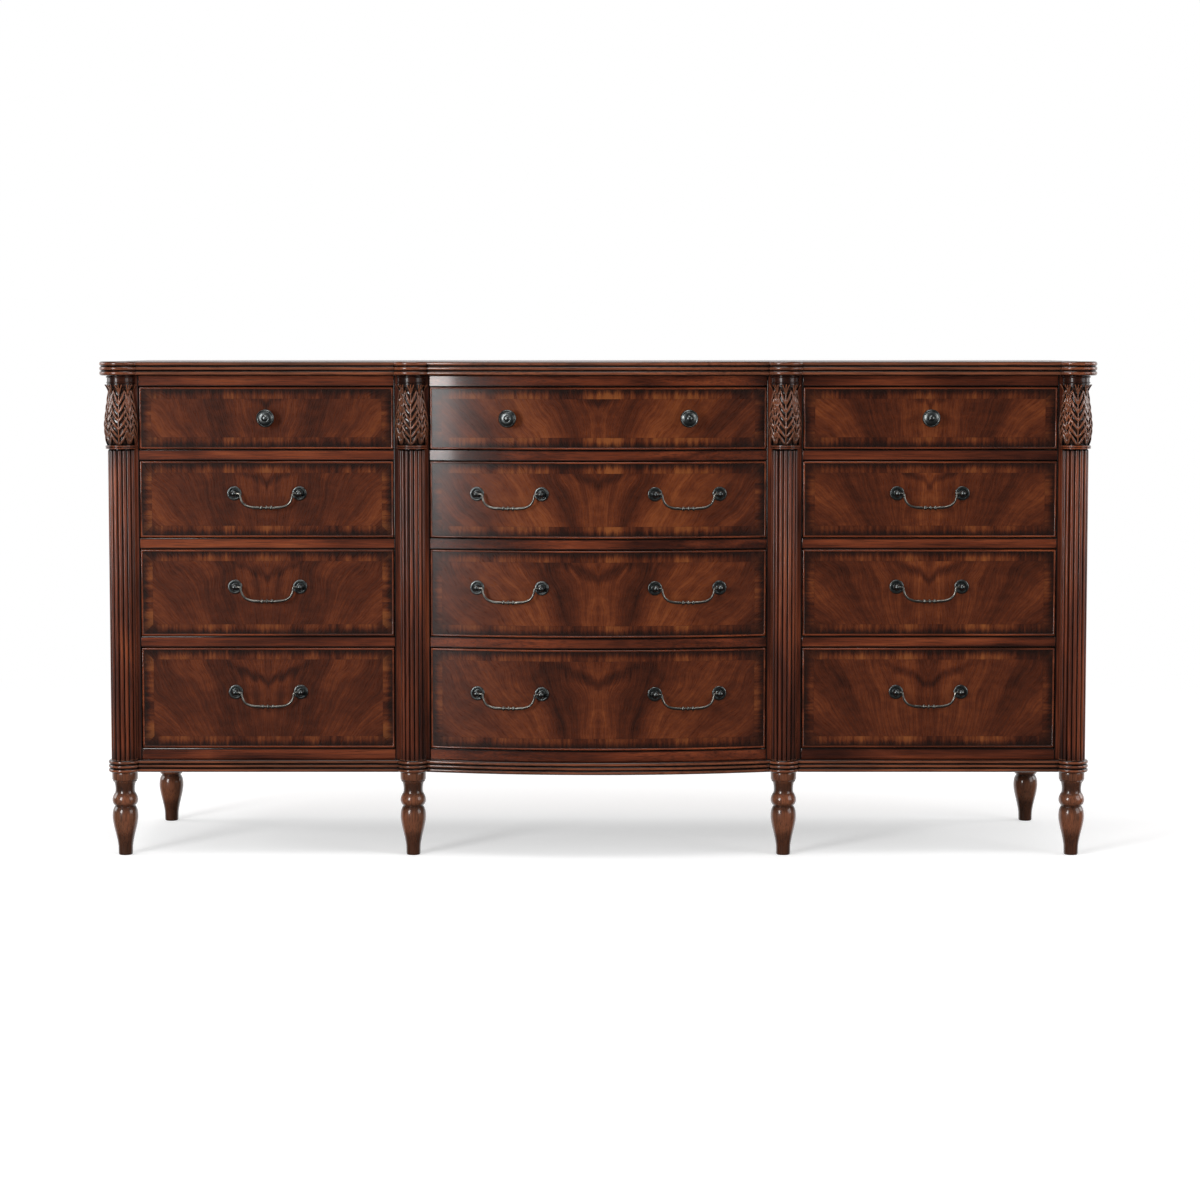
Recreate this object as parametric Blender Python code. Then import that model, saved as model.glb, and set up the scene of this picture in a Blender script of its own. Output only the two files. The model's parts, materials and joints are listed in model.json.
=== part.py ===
"""Bow-front dresser: three bays of four drawers between reeded columns, on six turned legs.

Metres, +Z up, +X to the right and -Y to the front. The origin is on the floor, under the middle of the whole
box. Inside the dresser y is measured from the drawer face, which holds the axes of the columns too, and every
piece hangs on one empty that carries that face to its place.
"""

from math import asin, atan2, cos, hypot, pi, sin, sqrt

import bmesh
import bpy
from mathutils import Matrix, Vector

# The case, seen from the front
CENTRE_OPENING = 0.673
SIDE_OPENING = 0.508
OPENING_HEIGHTS = (0.1255, 0.1545, 0.1755, 0.2035)
RAIL_HEIGHT = 0.022
LEG_HEIGHT = 0.168
BASE_THICKNESS = 0.025
TOP_THICKNESS = 0.028

# The case, seen from above
DEPTH = 0.470
BOW = 0.045
END_INSET = 0.005
FRAME_THICKNESS = 0.020
PANEL_THICKNESS = 0.018
BACK_THICKNESS = 0.008
BOARD_THICKNESS = 0.012
GUIDE_HEIGHT = 0.018
GUIDE_SETBACK = 0.0005

# The edges of the top and of the base
TOP_OVERHANG = 0.025
TOP_BLOCK_PROUD = 0.010
BASE_OVERHANG = 0.014
BASE_BLOCK_PROUD = 0.007
REED_DEPTH = 0.0028
REED_COUNT = 3

# The columns and the legs
COLUMN_RADIUS = 0.0265
NECK_PROUD = 0.0012
NECK_HEIGHT = 0.012
CAPITAL_PROUD = 0.0065
CAPITAL_HEIGHT = 0.1265
RING_PROUD = 0.005
RING_HEIGHT = 0.007
STILE_SHOW = 0.0025
LEG_INSET = 0.0009
REAR_LEG_INSET = 0.034

# The drawers
FRONT_THICKNESS = 0.020
FRONT_GAP = 0.0015
BEAD_WIDTH = 0.0035
BEAD_PROUD = 0.0015
SIDE_THICKNESS = 0.012
SIDE_DROP = 0.010
BACK_SPACE = 0.027
BOTTOM_THICKNESS = 0.006
BOTTOM_LIFT = 0.010

# The knobs and the bail pulls
PULL_OFFSET = 0.177
KNOB_RADIUS = 0.017
KNOB_REACH = 0.027
PULL_LIFT = 0.012
POST_SPAN = 0.130
ROSETTE_RADIUS = 0.0135
ROSETTE_THICKNESS = 0.0022
ROSETTE_SEAT = 0.002
POST_STAND = 0.014
BALL_RADIUS = 0.006
STEM_RADIUS = 0.0038
BORE_RADIUS = 0.0025
BORE_DEPTH = 0.008
PIN_RADIUS = 0.0017
PIN_END_SHY = 0.001
ROD_RADIUS = 0.0028
BAIL_DROP = 0.0295
BAIL_INSET = 0.013

# Fits, and the extra length that carries a cutter past what it cuts
GAP = 0.0003
OVERRUN = 0.002

# Shares of height from the bottom, and of the radius
LEG_SHARES = (
    (0.0, 0.50),
    (0.03, 0.56),
    (0.13, 0.575),
    (0.22, 0.66),
    (0.32, 0.83),
    (0.45, 0.99),
    (0.58, 0.84),
    (0.61, 0.90),
    (0.667, 1.0),
    (0.735, 0.88),
    (0.80, 0.75),
    (0.885, 0.86),
    (0.907, 1.0),
    (1.0, 1.0),
)
KNOB_SHARES = (
    (0.0, 0.60),
    (0.10, 0.60),
    (0.20, 0.36),
    (0.42, 0.36),
    (0.60, 0.88),
    (0.75, 1.0),
    (0.92, 0.72),
    (1.0, 0.30),
)

# Shares of the capital's height from the bottom, and of how far it stands out from the shaft
CAPITAL_SHARES = (
    (0.0, 0.16),
    (0.12, 0.70),
    (0.31, 1.0),
    (0.55, 0.50),
    (0.81, -0.16),
    (0.96, 1.0),
    (1.0, 0.40),
)

# Shares of the way from a post to the bail's middle, and of the bail's drop
BAIL_SHARES = ((0.0, 0.10), (0.05, 0.40), (0.16, 0.68), (0.35, 0.88), (0.64, 0.98), (1.0, 1.0))

# Shares of one reed's height at which its round face has an edge
REED_SHARES = (0.2, 0.8, 1.0)

# Facets
ROUND_SIDES = 12
POST_SIDES = 8
BORE_SIDES = 6
OUTER_BLOCK_STEPS = 8
INNER_BLOCK_STEPS = 5
BOW_STEPS = 6

BAYS = ("left", "centre", "right")
ROWS = (1, 2, 3, 4)
SIGNS = {"left": -1, "right": 1}

CAPITAL_RADIUS = COLUMN_RADIUS + CAPITAL_PROUD
COLUMN_BAND = CAPITAL_RADIUS + STILE_SHOW
TOP_BLOCK_RADIUS = CAPITAL_RADIUS + TOP_BLOCK_PROUD
BASE_BLOCK_RADIUS = COLUMN_RADIUS + BASE_BLOCK_PROUD
RING_RADIUS = COLUMN_RADIUS + RING_PROUD
NECK_RADIUS = COLUMN_RADIUS + NECK_PROUD
LEG_RADIUS = COLUMN_RADIUS - LEG_INSET
INNER_COLUMN_X = CENTRE_OPENING / 2 + COLUMN_BAND
OUTER_COLUMN_X = INNER_COLUMN_X + 2 * COLUMN_BAND + SIDE_OPENING
END_X = OUTER_COLUMN_X - END_INSET
SIDE_BAY_X = (INNER_COLUMN_X + OUTER_COLUMN_X) / 2
CASE_BOTTOM = LEG_HEIGHT + BASE_THICKNESS
CASE_TOP = CASE_BOTTOM + sum(OPENING_HEIGHTS) + (len(OPENING_HEIGHTS) + 1) * RAIL_HEIGHT
FACE_Y = (BOW + TOP_OVERHANG - DEPTH) / 2
BOW_HALF = CENTRE_OPENING / 2
BOW_RADIUS = (BOW_HALF**2 + BOW**2) / (2 * BOW)
BOW_CENTRE_Y = BOW_RADIUS - BOW
BOX_LENGTH = DEPTH - BACK_THICKNESS - BACK_SPACE - FRONT_THICKNESS


def opening_floor(row):
    """The height of the rail that the drawer of this row runs on, with row 1 at the top."""
    below = OPENING_HEIGHTS[row:]
    return CASE_BOTTOM + RAIL_HEIGHT + sum(height + RAIL_HEIGHT for height in below)


def material(name, colour, roughness, metallic):
    made = bpy.data.materials.new(name)
    made.use_nodes = True
    shader = made.node_tree.nodes["Principled BSDF"]
    shader.inputs["Base Color"].default_value = (*colour, 1)
    shader.inputs["Roughness"].default_value = roughness
    shader.inputs["Metallic"].default_value = metallic
    return made


def add_object(name, bm):
    """An object with this mesh, its faces turned outwards."""
    bmesh.ops.recalc_face_normals(bm, faces=bm.faces)
    mesh = bpy.data.meshes.new(name)
    bm.to_mesh(mesh)
    bm.free()
    obj = bpy.data.objects.new(name, mesh)
    bpy.context.scene.collection.objects.link(obj)
    return obj


def lofted(name, levels):
    """A solid through outlines of equal length, each (points, height), capped at both ends."""
    bm = bmesh.new()
    rings = [[bm.verts.new((x, y, height)) for x, y in points] for points, height in levels]
    for lower, upper in zip(rings, rings[1:]):
        for i in range(len(lower)):
            bm.faces.new((lower[i - 1], lower[i], upper[i], upper[i - 1]))
    bm.faces.new(rings[0])
    bm.faces.new(rings[-1])
    return add_object(name, bm)


def prism(name, outline, low, high):
    return lofted(name, [(outline, low), (outline, high)])


def block(name, low, high):
    outline = [(low[0], low[1]), (high[0], low[1]), (high[0], high[1]), (low[0], high[1])]
    return prism(name, outline, low[2], high[2])


def circle(radius, sides):
    return [(radius * cos(2 * pi * i / sides), radius * sin(2 * pi * i / sides)) for i in range(sides)]


def turned(name, profile, sides):
    """A solid turned about Z from (radius, height) pairs, shaded smooth but for its sharp corners."""
    obj = lofted(name, [(circle(radius, sides), height) for radius, height in profile])
    obj.data.shade_smooth()
    obj.data.set_sharp_from_angle(angle=pi / 3)
    return obj


def combine(target, other, operation):
    """Cuts the other solid from the target, or joins it on, and removes the other."""
    modifier = target.modifiers.new(other.name, "BOOLEAN")
    modifier.operation = operation
    modifier.solver = "EXACT"
    modifier.object = other
    with bpy.context.temp_override(object=target, active_object=target, selected_objects=[target]):
        bpy.ops.object.modifier_apply(modifier=modifier.name)
    bpy.data.objects.remove(other)


def place(obj, parent, location=(0, 0, 0), turn=0.0):
    obj.parent = parent
    obj.location = location
    obj.rotation_euler.z = turn
    return obj


def empty(name, parent, location):
    obj = bpy.data.objects.new(name, None)
    bpy.context.scene.collection.objects.link(obj)
    return place(obj, parent, location)


def bow_arc(offset, half_width):
    """Points along the bow from left to right, this far outside the drawer face."""
    radius = BOW_RADIUS + offset
    end = asin(half_width / radius)
    step = asin(BOW_HALF / BOW_RADIUS) / BOW_STEPS
    inner = [i * step for i in range(-BOW_STEPS, BOW_STEPS + 1) if abs(i * step) < end - step / 4]
    return [(radius * sin(a), BOW_CENTRE_Y - radius * cos(a)) for a in (-end, *inner, end)]


def arc(centre_x, radius, start, end, steps):
    """Points from one angle to the other about a column's axis."""
    turns = [start + (end - start) * i / steps for i in range(steps + 1)]
    return [(centre_x + radius * cos(a), radius * sin(a)) for a in turns]


def edge_outline(overhang, block_radius):
    """The plan of the top or the base: a straight back, straight sides, and round blocks at the columns."""
    side = END_X + overhang
    chord = sqrt(block_radius**2 - overhang**2)
    side_y = sqrt(block_radius**2 - (side - OUTER_COLUMN_X) ** 2)
    outer = arc(
        -OUTER_COLUMN_X,
        block_radius,
        atan2(side_y, OUTER_COLUMN_X - side),
        2 * pi + atan2(-overhang, chord),
        OUTER_BLOCK_STEPS,
    )
    # Where the inner block's circle crosses the bow's circle
    apart = hypot(INNER_COLUMN_X, BOW_CENTRE_Y)
    along = (apart**2 + block_radius**2 - (BOW_RADIUS + overhang) ** 2) / (2 * apart)
    across = sqrt(block_radius**2 - along**2)
    to_bow = Vector((INNER_COLUMN_X, BOW_CENTRE_Y)) / apart
    crossing = to_bow * along + Vector((to_bow.y, -to_bow.x)) * across
    inner = arc(
        -INNER_COLUMN_X,
        block_radius,
        pi + atan2(overhang, chord),
        2 * pi + atan2(crossing.y, crossing.x),
        INNER_BLOCK_STEPS,
    )
    left = [(-side, DEPTH), *outer, *inner]
    bow = bow_arc(overhang, INNER_COLUMN_X - crossing.x)[1:-1]
    right = [(-x, y) for x, y in reversed(left)]
    return left + bow + right


def reeded_board(name, low, thickness, overhang, block_radius):
    """A board whose front and sides are worked with equal reeds, one over the other."""
    reed = thickness / REED_COUNT
    levels = [(edge_outline(overhang - REED_DEPTH, block_radius - REED_DEPTH), low)]
    for i in range(REED_COUNT):
        for share in REED_SHARES:
            inset = REED_DEPTH * (1 - sqrt(1 - (2 * share - 1) ** 2))
            levels.append((edge_outline(overhang - inset, block_radius - inset), low + (i + share) * reed))
    return lofted(name, levels)


def make_leg(name, parent, x, y):
    height = LEG_HEIGHT - GAP
    profile = [(LEG_RADIUS * radius, height * share) for share, radius in LEG_SHARES]
    leg = turned(name, profile, ROUND_SIDES)
    leg.data.materials.append(solid_wood)
    return place(leg, parent, (x, y, 0))


def make_column(name, parent, x):
    """A shaft, ring, carved capital and neck, half round on the face and cut round the corner at the ends."""
    height = CASE_TOP - CASE_BOTTOM - 2 * GAP
    neck = height - NECK_HEIGHT
    capital = neck - CAPITAL_HEIGHT
    ring = capital - RING_HEIGHT
    profile = [
        (COLUMN_RADIUS, 0),
        (COLUMN_RADIUS, ring),
        (RING_RADIUS, ring),
        (RING_RADIUS, capital),
        *[(COLUMN_RADIUS + CAPITAL_PROUD * out, capital + CAPITAL_HEIGHT * up) for up, out in CAPITAL_SHARES],
        (NECK_RADIUS, neck),
        (NECK_RADIUS, height),
    ]
    column = turned(name, profile, ROUND_SIDES)
    reach = 2 * RING_RADIUS
    cut_x = END_X + GAP - OUTER_COLUMN_X if abs(x) > SIDE_BAY_X else reach
    side = 1 if x > 0 else -1
    low_x, high_x = sorted((-side * reach, side * cut_x))
    corner = block("corner", (low_x, -GAP, -OVERRUN), (high_x, reach, height + OVERRUN))
    combine(column, corner, "DIFFERENCE")
    column.data.materials.append(solid_wood)
    return place(column, parent, (x, 0, CASE_BOTTOM + GAP))


def make_bay_frame(bay, parent):
    """Stiles and rails at the front, and behind each rail a dust board with a guide at either side."""
    if bay == "centre":
        half = INNER_COLUMN_X - GAP / 2
        rear_low = -INNER_COLUMN_X + PANEL_THICKNESS / 2 + GAP
        rear_high = -rear_low
        front = [(-half, 0), *bow_arc(0, BOW_HALF), (half, 0)]
        opening = (-CENTRE_OPENING / 2, CENTRE_OPENING / 2)
    else:
        side = SIGNS[bay]
        inner_rear = INNER_COLUMN_X + PANEL_THICKNESS / 2 + GAP
        outer_rear = END_X - PANEL_THICKNESS - GAP
        rear_low, rear_high = sorted((side * inner_rear, side * outer_rear))
        front = [(x, 0) for x in sorted((side * (INNER_COLUMN_X + GAP / 2), side * END_X))]
        opening = (side * SIDE_BAY_X - SIDE_OPENING / 2, side * SIDE_BAY_X + SIDE_OPENING / 2)
    low_x = front[0][0]
    high_x = front[-1][0]
    back = DEPTH - BACK_THICKNESS - GAP
    outline = [
        *front,
        (high_x, FRAME_THICKNESS),
        (rear_high, FRAME_THICKNESS),
        (rear_high, back),
        (rear_low, back),
        (rear_low, FRAME_THICKNESS),
        (low_x, FRAME_THICKNESS),
    ]
    frame = prism("bay_frame_" + bay, outline, CASE_BOTTOM + GAP, CASE_TOP - GAP)
    reach = BOW + OVERRUN
    below = block(
        "below",
        (rear_low - OVERRUN, FRAME_THICKNESS, CASE_BOTTOM - OVERRUN),
        (rear_high + OVERRUN, back + OVERRUN, opening_floor(ROWS[-1]) - BOARD_THICKNESS),
    )
    combine(frame, below, "DIFFERENCE")
    for row in ROWS:
        floor = opening_floor(row)
        ceiling = floor + OPENING_HEIGHTS[row - 1]
        over = CASE_TOP + OVERRUN if row == ROWS[0] else ceiling + RAIL_HEIGHT - BOARD_THICKNESS
        hole = block("hole", (opening[0], -reach, floor), (opening[1], FRAME_THICKNESS + OVERRUN, ceiling))
        combine(frame, hole, "DIFFERENCE")
        trough = block(
            "trough",
            (opening[0] - GUIDE_SETBACK, FRAME_THICKNESS, floor),
            (opening[1] + GUIDE_SETBACK, back + OVERRUN, floor + 2 * GUIDE_HEIGHT),
        )
        combine(frame, trough, "DIFFERENCE")
        space = block(
            "space",
            (rear_low - OVERRUN, FRAME_THICKNESS, floor + GUIDE_HEIGHT),
            (rear_high + OVERRUN, back + OVERRUN, over),
        )
        combine(frame, space, "DIFFERENCE")
    frame.data.materials.append(solid_wood)
    return place(frame, parent)


def make_case(parent):
    """The fixed boards: base, top, ends, partitions and back."""
    base = reeded_board("base_board", LEG_HEIGHT, BASE_THICKNESS, BASE_OVERHANG, BASE_BLOCK_RADIUS)
    top = reeded_board("top_panel", CASE_TOP, TOP_THICKNESS, TOP_OVERHANG, TOP_BLOCK_RADIUS)
    for board in (base, top):
        board.data.materials.append(solid_wood)
        place(board, parent)
    low = CASE_BOTTOM + GAP
    high = CASE_TOP - GAP
    front = FRAME_THICKNESS + GAP
    for name, side in SIGNS.items():
        ends = sorted((side * (END_X - PANEL_THICKNESS), side * END_X))
        end = block("end_panel_" + name, (ends[0], front, low), (ends[1], DEPTH, high))
        end.data.materials.append(veneer)
        place(end, parent)
        middle = side * INNER_COLUMN_X
        half = PANEL_THICKNESS / 2
        back = DEPTH - BACK_THICKNESS - GAP
        partition = block("partition_" + name, (middle - half, front, low), (middle + half, back, high))
        partition.data.materials.append(drawer_wood)
        place(partition, parent)
    width = END_X - PANEL_THICKNESS - GAP
    back_panel = block("back_panel", (-width, DEPTH - BACK_THICKNESS, low), (width, DEPTH, high))
    back_panel.data.materials.append(back_wood)
    place(back_panel, parent)


def make_front(name, bowed, width, low, high):
    """A drawer front whose face is sunk inside a narrow bead that stands proud all round."""
    half = width / 2
    field = half - BEAD_WIDTH
    sunk = BEAD_PROUD + OVERRUN
    if bowed:
        board = bow_arc(BEAD_PROUD, half) + bow_arc(-FRONT_THICKNESS, half)[::-1]
        sink = bow_arc(sunk, field) + bow_arc(0, field)[::-1]
    else:
        board = [(-half, -BEAD_PROUD), (half, -BEAD_PROUD), (half, FRONT_THICKNESS), (-half, FRONT_THICKNESS)]
        sink = [(-field, -sunk), (field, -sunk), (field, 0), (-field, 0)]
    front = prism(name, board, low, high)
    combine(front, prism("field", sink, low + BEAD_WIDTH, high - BEAD_WIDTH), "DIFFERENCE")
    front.data.materials.append(veneer)
    return front


def make_box(name, bowed, width, height):
    """Two sides, a back and a bottom in one, open at the front, where the drawer front closes it."""
    half = width / 2
    inner = half - SIDE_THICKNESS
    start = FRONT_THICKNESS + GAP
    end = FRONT_THICKNESS + BOX_LENGTH
    if bowed:
        front_edge = bow_arc(-start, half)
    else:
        front_edge = [(-half, start), (half, start)]
    outline = [*front_edge, (half, end), (-half, end)]
    box = prism(name, outline, GAP, height)
    reach = BOW + OVERRUN
    inside = block(
        "inside",
        (-inner, -reach, BOTTOM_LIFT + BOTTOM_THICKNESS),
        (inner, end - SIDE_THICKNESS, height + OVERRUN),
    )
    underside = block("underside", (-inner, -reach, -OVERRUN), (inner, end - SIDE_THICKNESS, BOTTOM_LIFT))
    combine(box, inside, "DIFFERENCE")
    combine(box, underside, "DIFFERENCE")
    box.data.materials.append(drawer_wood)
    return box


def pull_seat(x, bowed, span):
    """Where a pull's middle sits and how it is turned, its two ends this far apart on the face."""
    if not bowed:
        return Vector((x, 0, 0)), 0.0
    turn = asin(x / BOW_RADIUS)
    radius = sqrt(BOW_RADIUS**2 - (span / 2) ** 2)
    return Vector((radius * sin(turn), BOW_CENTRE_Y - radius * cos(turn), 0)), turn


def make_post(side):
    """A rosette, stem and ball standing forward of the face, bored from the inner side for the bail's pin."""
    profile = [
        (ROSETTE_RADIUS, -ROSETTE_SEAT),
        (ROSETTE_RADIUS, ROSETTE_THICKNESS),
        (STEM_RADIUS, ROSETTE_THICKNESS + (ROSETTE_RADIUS - STEM_RADIUS) / 4),
        (STEM_RADIUS, POST_STAND - BALL_RADIUS),
        (BALL_RADIUS, POST_STAND - BALL_RADIUS / 2),
        (BALL_RADIUS, POST_STAND + BALL_RADIUS / 2),
        (BALL_RADIUS / 2, POST_STAND + BALL_RADIUS),
    ]
    post = turned("post", profile, POST_SIDES)
    post.data.transform(Matrix.Rotation(pi / 2, 4, "X"))
    bore = turned("bore", [(BORE_RADIUS, 0), (BORE_RADIUS, BORE_DEPTH + OVERRUN)], BORE_SIDES)
    bore.data.transform(Matrix.Rotation(-side * pi / 2, 4, "Y"))
    bottom = side * (BORE_DEPTH - BALL_RADIUS)
    bore.data.transform(Matrix.Translation((bottom, -POST_STAND, 0)))
    combine(post, bore, "DIFFERENCE")
    post.data.transform(Matrix.Translation((side * POST_SPAN / 2, 0, 0)))
    return post


def make_bail(name):
    """A rod hanging between two posts, its thinner ends turned outwards as pins, about the pins' axis."""
    pin_end = POST_SPAN / 2 + BORE_DEPTH - BALL_RADIUS - PIN_END_SHY
    shoulder = POST_SPAN / 2 - BAIL_INSET
    right = [(pin_end, 0, PIN_RADIUS), (shoulder + ROD_RADIUS, 0, PIN_RADIUS)]
    for inward, down in BAIL_SHARES:
        right.append((shoulder * (1 - inward), -BAIL_DROP * down, ROD_RADIUS))
    left = [(-x, z, radius) for x, z, radius in reversed(right[:-1])]
    points = right + left
    curve = bpy.data.curves.new(name, "CURVE")
    curve.dimensions = "3D"
    curve.bevel_depth = ROD_RADIUS
    curve.bevel_resolution = 1
    curve.use_fill_caps = True
    spline = curve.splines.new("POLY")
    spline.points.add(len(points) - 1)
    for point, (x, z, radius) in zip(spline.points, points):
        point.co = (x, 0, z, 1)
        point.radius = radius / ROD_RADIUS
    curve.materials.append(metal)
    bail = bpy.data.objects.new(name, curve)
    bpy.context.scene.collection.objects.link(bail)
    return bail


def make_knob(name):
    profile = [(KNOB_RADIUS * radius, GAP + KNOB_REACH * share) for share, radius in KNOB_SHARES]
    knob = turned(name, profile, ROUND_SIDES)
    knob.data.transform(Matrix.Rotation(pi / 2, 4, "X"))
    knob.data.materials.append(metal)
    return knob


def make_drawer(bay, row, parent):
    """One drawer on its empty, with its knobs in the top row and its bail pulls in the others."""
    bowed = bay == "centre"
    width = CENTRE_OPENING if bowed else SIDE_OPENING
    bay_x = 0 if bowed else SIGNS[bay] * SIDE_BAY_X
    opening = OPENING_HEIGHTS[row - 1]
    label = f"{bay}_{row}"
    drawer = empty("drawer_" + label, parent, (bay_x, 0, opening_floor(row)))
    front = make_front("drawer_front_" + label, bowed, width - 2 * FRONT_GAP, FRONT_GAP, opening - FRONT_GAP)
    box = make_box("drawer_box_" + label, bowed, width - 2 * FRONT_GAP, opening - FRONT_GAP - SIDE_DROP)
    place(box, drawer)
    pulls = {"_left": -PULL_OFFSET, "_right": PULL_OFFSET} if bowed else {"": 0}
    for suffix, x in pulls.items():
        if row == ROWS[0]:
            seat, turn = pull_seat(x, bowed, 0)
            place(make_knob(f"knob_{bay}{suffix}"), drawer, seat + Vector((0, 0, opening / 2)), turn)
            continue
        seat, turn = pull_seat(x, bowed, POST_SPAN)
        seat += Vector((0, 0, opening / 2 + PULL_LIFT))
        frame = Matrix.Translation(seat) @ Matrix.Rotation(turn, 4, "Z")
        for side in (-1, 1):
            post = make_post(side)
            post.data.transform(frame)
            combine(front, post, "UNION")
        axis = frame @ Vector((0, -POST_STAND, 0))
        place(make_bail(f"bail_{bay}{suffix}_{row}"), drawer, axis, turn)
    place(front, drawer)


for old in list(bpy.data.objects):
    bpy.data.objects.remove(old)

solid_wood = material("mahogany", (0.15, 0.045, 0.024), 0.32, 0.0)
veneer = material("crotch_mahogany_veneer", (0.12, 0.036, 0.02), 0.25, 0.0)
drawer_wood = material("drawer_wood", (0.50, 0.33, 0.18), 0.6, 0.0)
back_wood = material("back_panel_wood", (0.22, 0.11, 0.055), 0.7, 0.0)
metal = material("antique_dark_metal", (0.075, 0.095, 0.09), 0.35, 1.0)

dresser = empty("dresser", None, (0, FACE_Y, 0))
make_case(dresser)
for bay_name in BAYS:
    make_bay_frame(bay_name, dresser)
for side_name, sign in SIGNS.items():
    make_column("column_outer_" + side_name, dresser, sign * OUTER_COLUMN_X)
    make_column("column_inner_" + side_name, dresser, sign * INNER_COLUMN_X)
    make_leg("leg_front_outer_" + side_name, dresser, sign * OUTER_COLUMN_X, 0)
    make_leg("leg_front_inner_" + side_name, dresser, sign * INNER_COLUMN_X, 0)
    make_leg("leg_rear_" + side_name, dresser, sign * (END_X - LEG_RADIUS), DEPTH - REAR_LEG_INSET)
for bay_name in BAYS:
    for drawer_row in ROWS:
        make_drawer(bay_name, drawer_row, dresser)
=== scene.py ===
import json
from math import asin, atan2, cos, hypot, pi, radians, sin, sqrt

import bmesh
import bpy
from mathutils import Matrix, Vector

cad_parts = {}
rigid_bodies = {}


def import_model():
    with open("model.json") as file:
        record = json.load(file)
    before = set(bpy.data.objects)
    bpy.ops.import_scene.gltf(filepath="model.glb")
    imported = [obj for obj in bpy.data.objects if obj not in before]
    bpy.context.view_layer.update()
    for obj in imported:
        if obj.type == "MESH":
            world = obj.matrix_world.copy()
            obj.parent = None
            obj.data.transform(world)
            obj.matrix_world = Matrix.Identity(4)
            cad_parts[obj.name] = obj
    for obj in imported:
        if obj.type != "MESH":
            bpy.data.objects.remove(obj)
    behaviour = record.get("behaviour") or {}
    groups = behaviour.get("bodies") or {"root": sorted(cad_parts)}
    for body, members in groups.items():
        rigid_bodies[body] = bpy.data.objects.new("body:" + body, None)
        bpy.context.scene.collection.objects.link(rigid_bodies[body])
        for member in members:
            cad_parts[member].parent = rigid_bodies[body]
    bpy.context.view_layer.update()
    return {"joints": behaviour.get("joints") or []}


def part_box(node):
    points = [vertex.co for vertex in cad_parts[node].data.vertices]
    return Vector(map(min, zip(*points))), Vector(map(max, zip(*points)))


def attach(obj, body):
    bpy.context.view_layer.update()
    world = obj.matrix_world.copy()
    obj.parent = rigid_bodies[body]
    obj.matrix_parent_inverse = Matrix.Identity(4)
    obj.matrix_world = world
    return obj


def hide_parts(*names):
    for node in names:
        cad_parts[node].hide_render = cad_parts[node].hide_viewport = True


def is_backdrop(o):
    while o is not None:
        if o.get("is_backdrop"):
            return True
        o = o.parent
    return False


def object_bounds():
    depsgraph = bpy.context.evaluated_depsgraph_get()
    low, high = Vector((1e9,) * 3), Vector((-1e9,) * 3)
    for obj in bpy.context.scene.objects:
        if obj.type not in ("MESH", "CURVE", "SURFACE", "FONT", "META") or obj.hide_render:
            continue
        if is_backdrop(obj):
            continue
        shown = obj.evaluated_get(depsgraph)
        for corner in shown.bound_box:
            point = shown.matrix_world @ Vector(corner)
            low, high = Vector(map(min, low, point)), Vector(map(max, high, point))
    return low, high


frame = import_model()
scene = bpy.context.scene
scene.view_settings.view_transform = "Standard"

# The view: six metres in front of the drawers' faces, about level with the top and tipped down a little,
# so that the case stands across the middle of the frame with its legs seen in full.
face_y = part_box("bay_frame_left")[0].y
camera_side = 0.0034
camera_distance = 6.0
camera_height = 1.025
camera_tilt = radians(4.2)
camera = bpy.data.objects.new("camera", bpy.data.cameras.new("camera"))
scene.collection.objects.link(camera)
camera.data.sensor_width = 36
camera.data.lens = 90.28
camera.data.shift_y = -0.0294
camera.location = (camera_side, face_y - camera_distance, camera_height)
camera.rotation_euler = (pi / 2 - camera_tilt, 0, 0)
scene.camera = camera


# The studio: a pale floor that runs into a white surround, one tall soft lamp to the left of the camera,
# a weaker one to the right, one overhead, and a small one at each end. In front of the case the room is
# dark, so the polish stays deep, and behind it all is white.
def feed(node, sources):
    """Gives each named socket of a node a plain value, or joins it to what another step puts out."""
    for socket, source in sources.items():
        if isinstance(source, bpy.types.NodeSocket):
            source.id_data.links.new(source, node.inputs[socket])
        else:
            node.inputs[socket].default_value = source


def step(kind, sources, tree=None, **settings):
    """One step of a finish, in the tree of the steps that feed it unless another is given."""
    fed_by = [source for source in sources.values() if isinstance(source, bpy.types.NodeSocket)]
    made = (tree or fed_by[0].id_data).nodes.new(kind)
    for name, setting in settings.items():
        setattr(made, name, setting)
    feed(made, sources)
    return made


def sum_of(operation, *terms):
    """The result of one sum on numbers."""
    return step("ShaderNodeMath", dict(enumerate(terms)), operation=operation).outputs[0]


def plus(first, *others):
    """All of these together."""
    for other in others:
        first = sum_of("ADD", first, other)
    return first


def less(first, second):
    """The first less the second."""
    return sum_of("SUBTRACT", first, second)


def times(first, second):
    """The first multiplied by the second."""
    return sum_of("MULTIPLY", first, second)


def fade(value, low, high, low_result=0.0, high_result=1.0):
    """Runs smoothly from one result to the other as the value goes from low to high."""
    sources = {"Value": value, "From Min": low, "From Max": high, "To Min": low_result, "To Max": high_result}
    return step("ShaderNodeMapRange", sources, interpolation_type="SMOOTHSTEP").outputs["Result"]


def new_finish(name):
    """A new finish, and the place on the piece that it is worked out from."""
    finish = bpy.data.materials.new(name)
    finish.use_nodes = True
    return finish, step("ShaderNodeTexCoord", {}, finish.node_tree).outputs["Object"]


def seen_plainly(rays):
    """1 where the camera sees a thing itself, and 0 where the thing only lights or is mirrored in another."""
    return sum_of("MAXIMUM", rays["Is Camera Ray"], rays["Is Transmission Ray"])


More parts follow.
